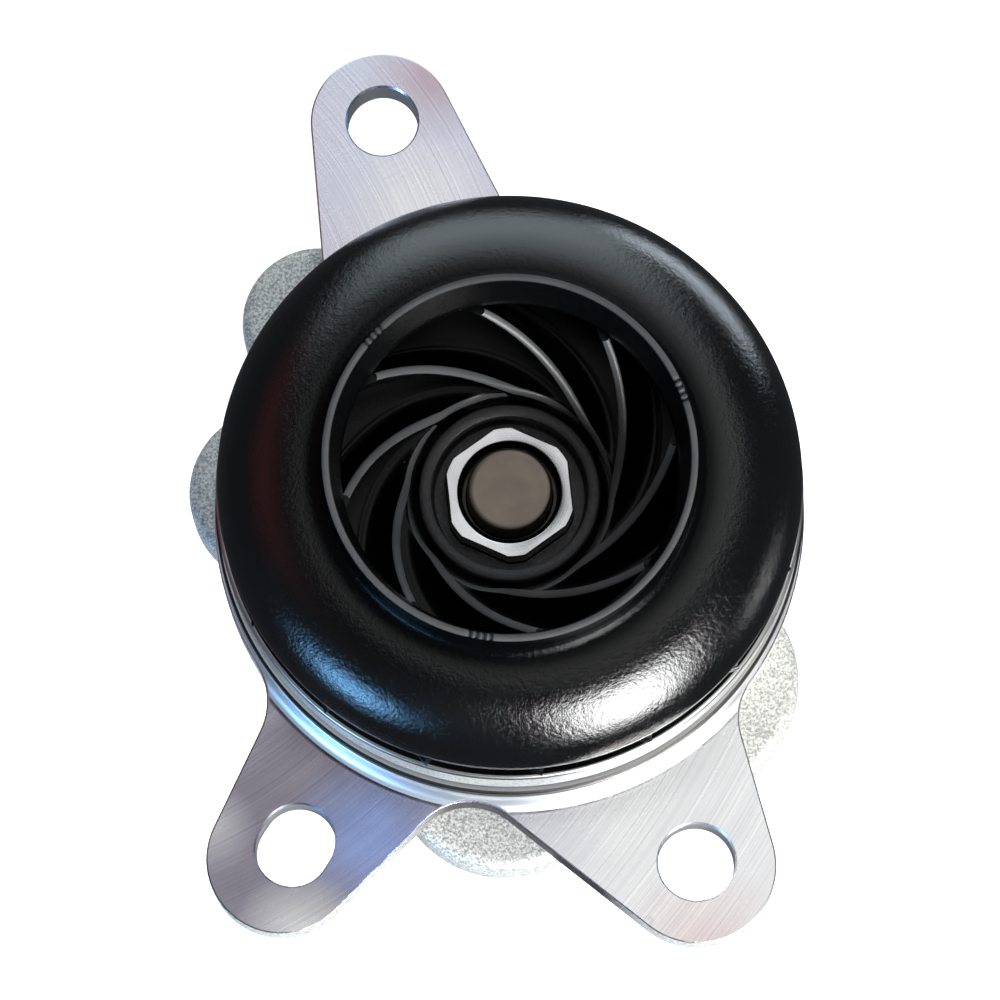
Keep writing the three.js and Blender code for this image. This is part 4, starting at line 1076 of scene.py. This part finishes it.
def lights():
    """A soft overhead, a white panel in front, and coloured or narrow panels for the dome's sheens."""
    aim = (0, 0, 0.09)
    panel("overhead", (0.18, 0.2, 1.15), aim, 0.8, 0.9, 1.05)
    panel("front_white", (0.29, -0.46, 0.34), aim, 0.24, 0.44, 23.0)
    panel("left_sky", (-0.42, -0.46, 0.22), aim, 0.2, 0.14, 20.0, (0.22, 0.55, 1.0))
    panel("back_grey", (-0.02, 0.78, 0.52), aim, 0.85, 0.95, 1.8, (0.82, 0.95, 1.0))
    panel("back_right_strip", (0.33, 0.46, 0.05), aim, 0.34, 0.09, 9.0, (0.8, 0.9, 1.0))
    panel("right_strip", (0.62, -0.16, 0.06), aim, 0.14, 0.03, 12.0)
    panel("left_red", (-0.55, 0.16, 0.55), aim, 0.5, 0.4, 0.22, (1.0, 0.12, 0.10))
    world = bpy.data.worlds.new("studio")
    world.use_nodes = True
    background = world.node_tree.nodes["Background"]
    background.inputs["Color"].default_value = (0.16, 0.17, 0.19, 1)
    background.inputs["Strength"].default_value = 0.35
    bpy.context.scene.world = world


def camera():
    """From the front and almost above, a few degrees off the shaft."""
    tilt = math.radians(VIEW_TILT)
    target = Vector(VIEW_TARGET) * MM
    forward = Vector((0, math.sin(tilt), -math.cos(tilt)))
    data = bpy.data.cameras.new("camera")
    data.lens = VIEW_LENS
    data.sensor_width = 36
    data.clip_start = 0.01
    data.clip_end = 20
    eye = bpy.data.objects.new("camera", data)
    eye.location = target - forward * VIEW_DISTANCE * MM
    eye.rotation_euler = forward.to_track_quat("-Z", "Y").to_euler()
    bpy.context.scene.collection.objects.link(eye)
    bpy.context.scene.camera = eye
    bpy.context.scene.view_settings.view_transform = "Standard"


# ---- Assembly ----------------------------------------------------------------------------------

MILLED = milled_aluminium()
CAST = cast_aluminium("cast_aluminium", 0.0)
# A copy of the cast finish with painted shade on the valley wall.
PLATE_WALL_SHADED = cast_aluminium("plate_wall_shaded", 1.0)
TURNED = turned_aluminium()
BLACK_GLOSS = black_moulding("black_gloss", 0.13, 0.6, 0.1, 0.9)
BLACK_SATIN = black_moulding("black_satin", 0.26, 0.2, 0.16, 0.5)
# Lighter grey on the vanes' rounded inlet edges as a painted highlight.
VANE_EDGE_HIGHLIGHT = soft_material("vane_edge_highlight", (0.09, 0.092, 0.095), 0.34, 1600, 0.1)
RIM_SIDE = soft_material("rim_side", (0.26, 0.26, 0.25), 0.28, 1600, 0.15)
# Bright steel as a painted highlight along the black disc's top edge.
RIM_EDGE_HIGHLIGHT = turned_steel("rim_edge_highlight", (0.8, 0.8, 0.78), 0.3, 0.3, 0.1)
# Dark steel used as painted shade on the pilot's lip and inside the hex insert's mouth.
SHADE_STEEL = turned_steel("shade_metal", (0.07, 0.068, 0.06), 0.38, 0.3, 0.15)
BOSS = boss_moulding()
INSERT = turned_steel("insert_metal", (0.66, 0.66, 0.67), 0.24, 0.3, 0.3)
SHAFT = turned_steel("shaft_metal", (0.21, 0.175, 0.145), 0.34, 0.14, 0.35)
HUB = turned_steel("hub_metal", (0.52, 0.53, 0.55), 0.34, 0.4, 0.3)
BEARING = turned_steel("bearing_metal", (0.72, 0.71, 0.69), 0.16, 0.1, 0.08)
CASE = turned_steel("case_metal", (0.66, 0.58, 0.38), 0.3, 0.3, 0.15)
SPRING = turned_steel("spring_metal", (0.62, 0.62, 0.63), 0.26, 0.2, 0.1)
RUBBER = soft_material("rubber", (0.012, 0.012, 0.013), 0.6, 1400, 0.3)
CAGE = soft_material("cage_plastic", (0.33, 0.26, 0.12), 0.5, 900, 0.15)
CARBON = soft_material("carbon", (0.025, 0.025, 0.027), 0.38, 1800, 0.15)
CERAMIC = soft_material("ceramic", (0.78, 0.75, 0.68), 0.2, 1800, 0.05)

machined_housing()
cast_housing()
o_ring()
bearing_outer_ring()
end_seal("bearing_end_seal_rear", 19.4, -1)
end_seal("bearing_end_seal_front", 46.3, 1)
for row_name, row_z in BALL_ROWS.items():
    balls(row_name, row_z)
    cage(row_name, row_z, -1 if row_name == "rear" else 1)
shaft()
drive_hub()
slinger()
seal_case()
seal_bellows()
seal_spring()
seal_rings()
impeller_back()
impeller_shroud()
hex_insert()
floor()
lights()
camera()
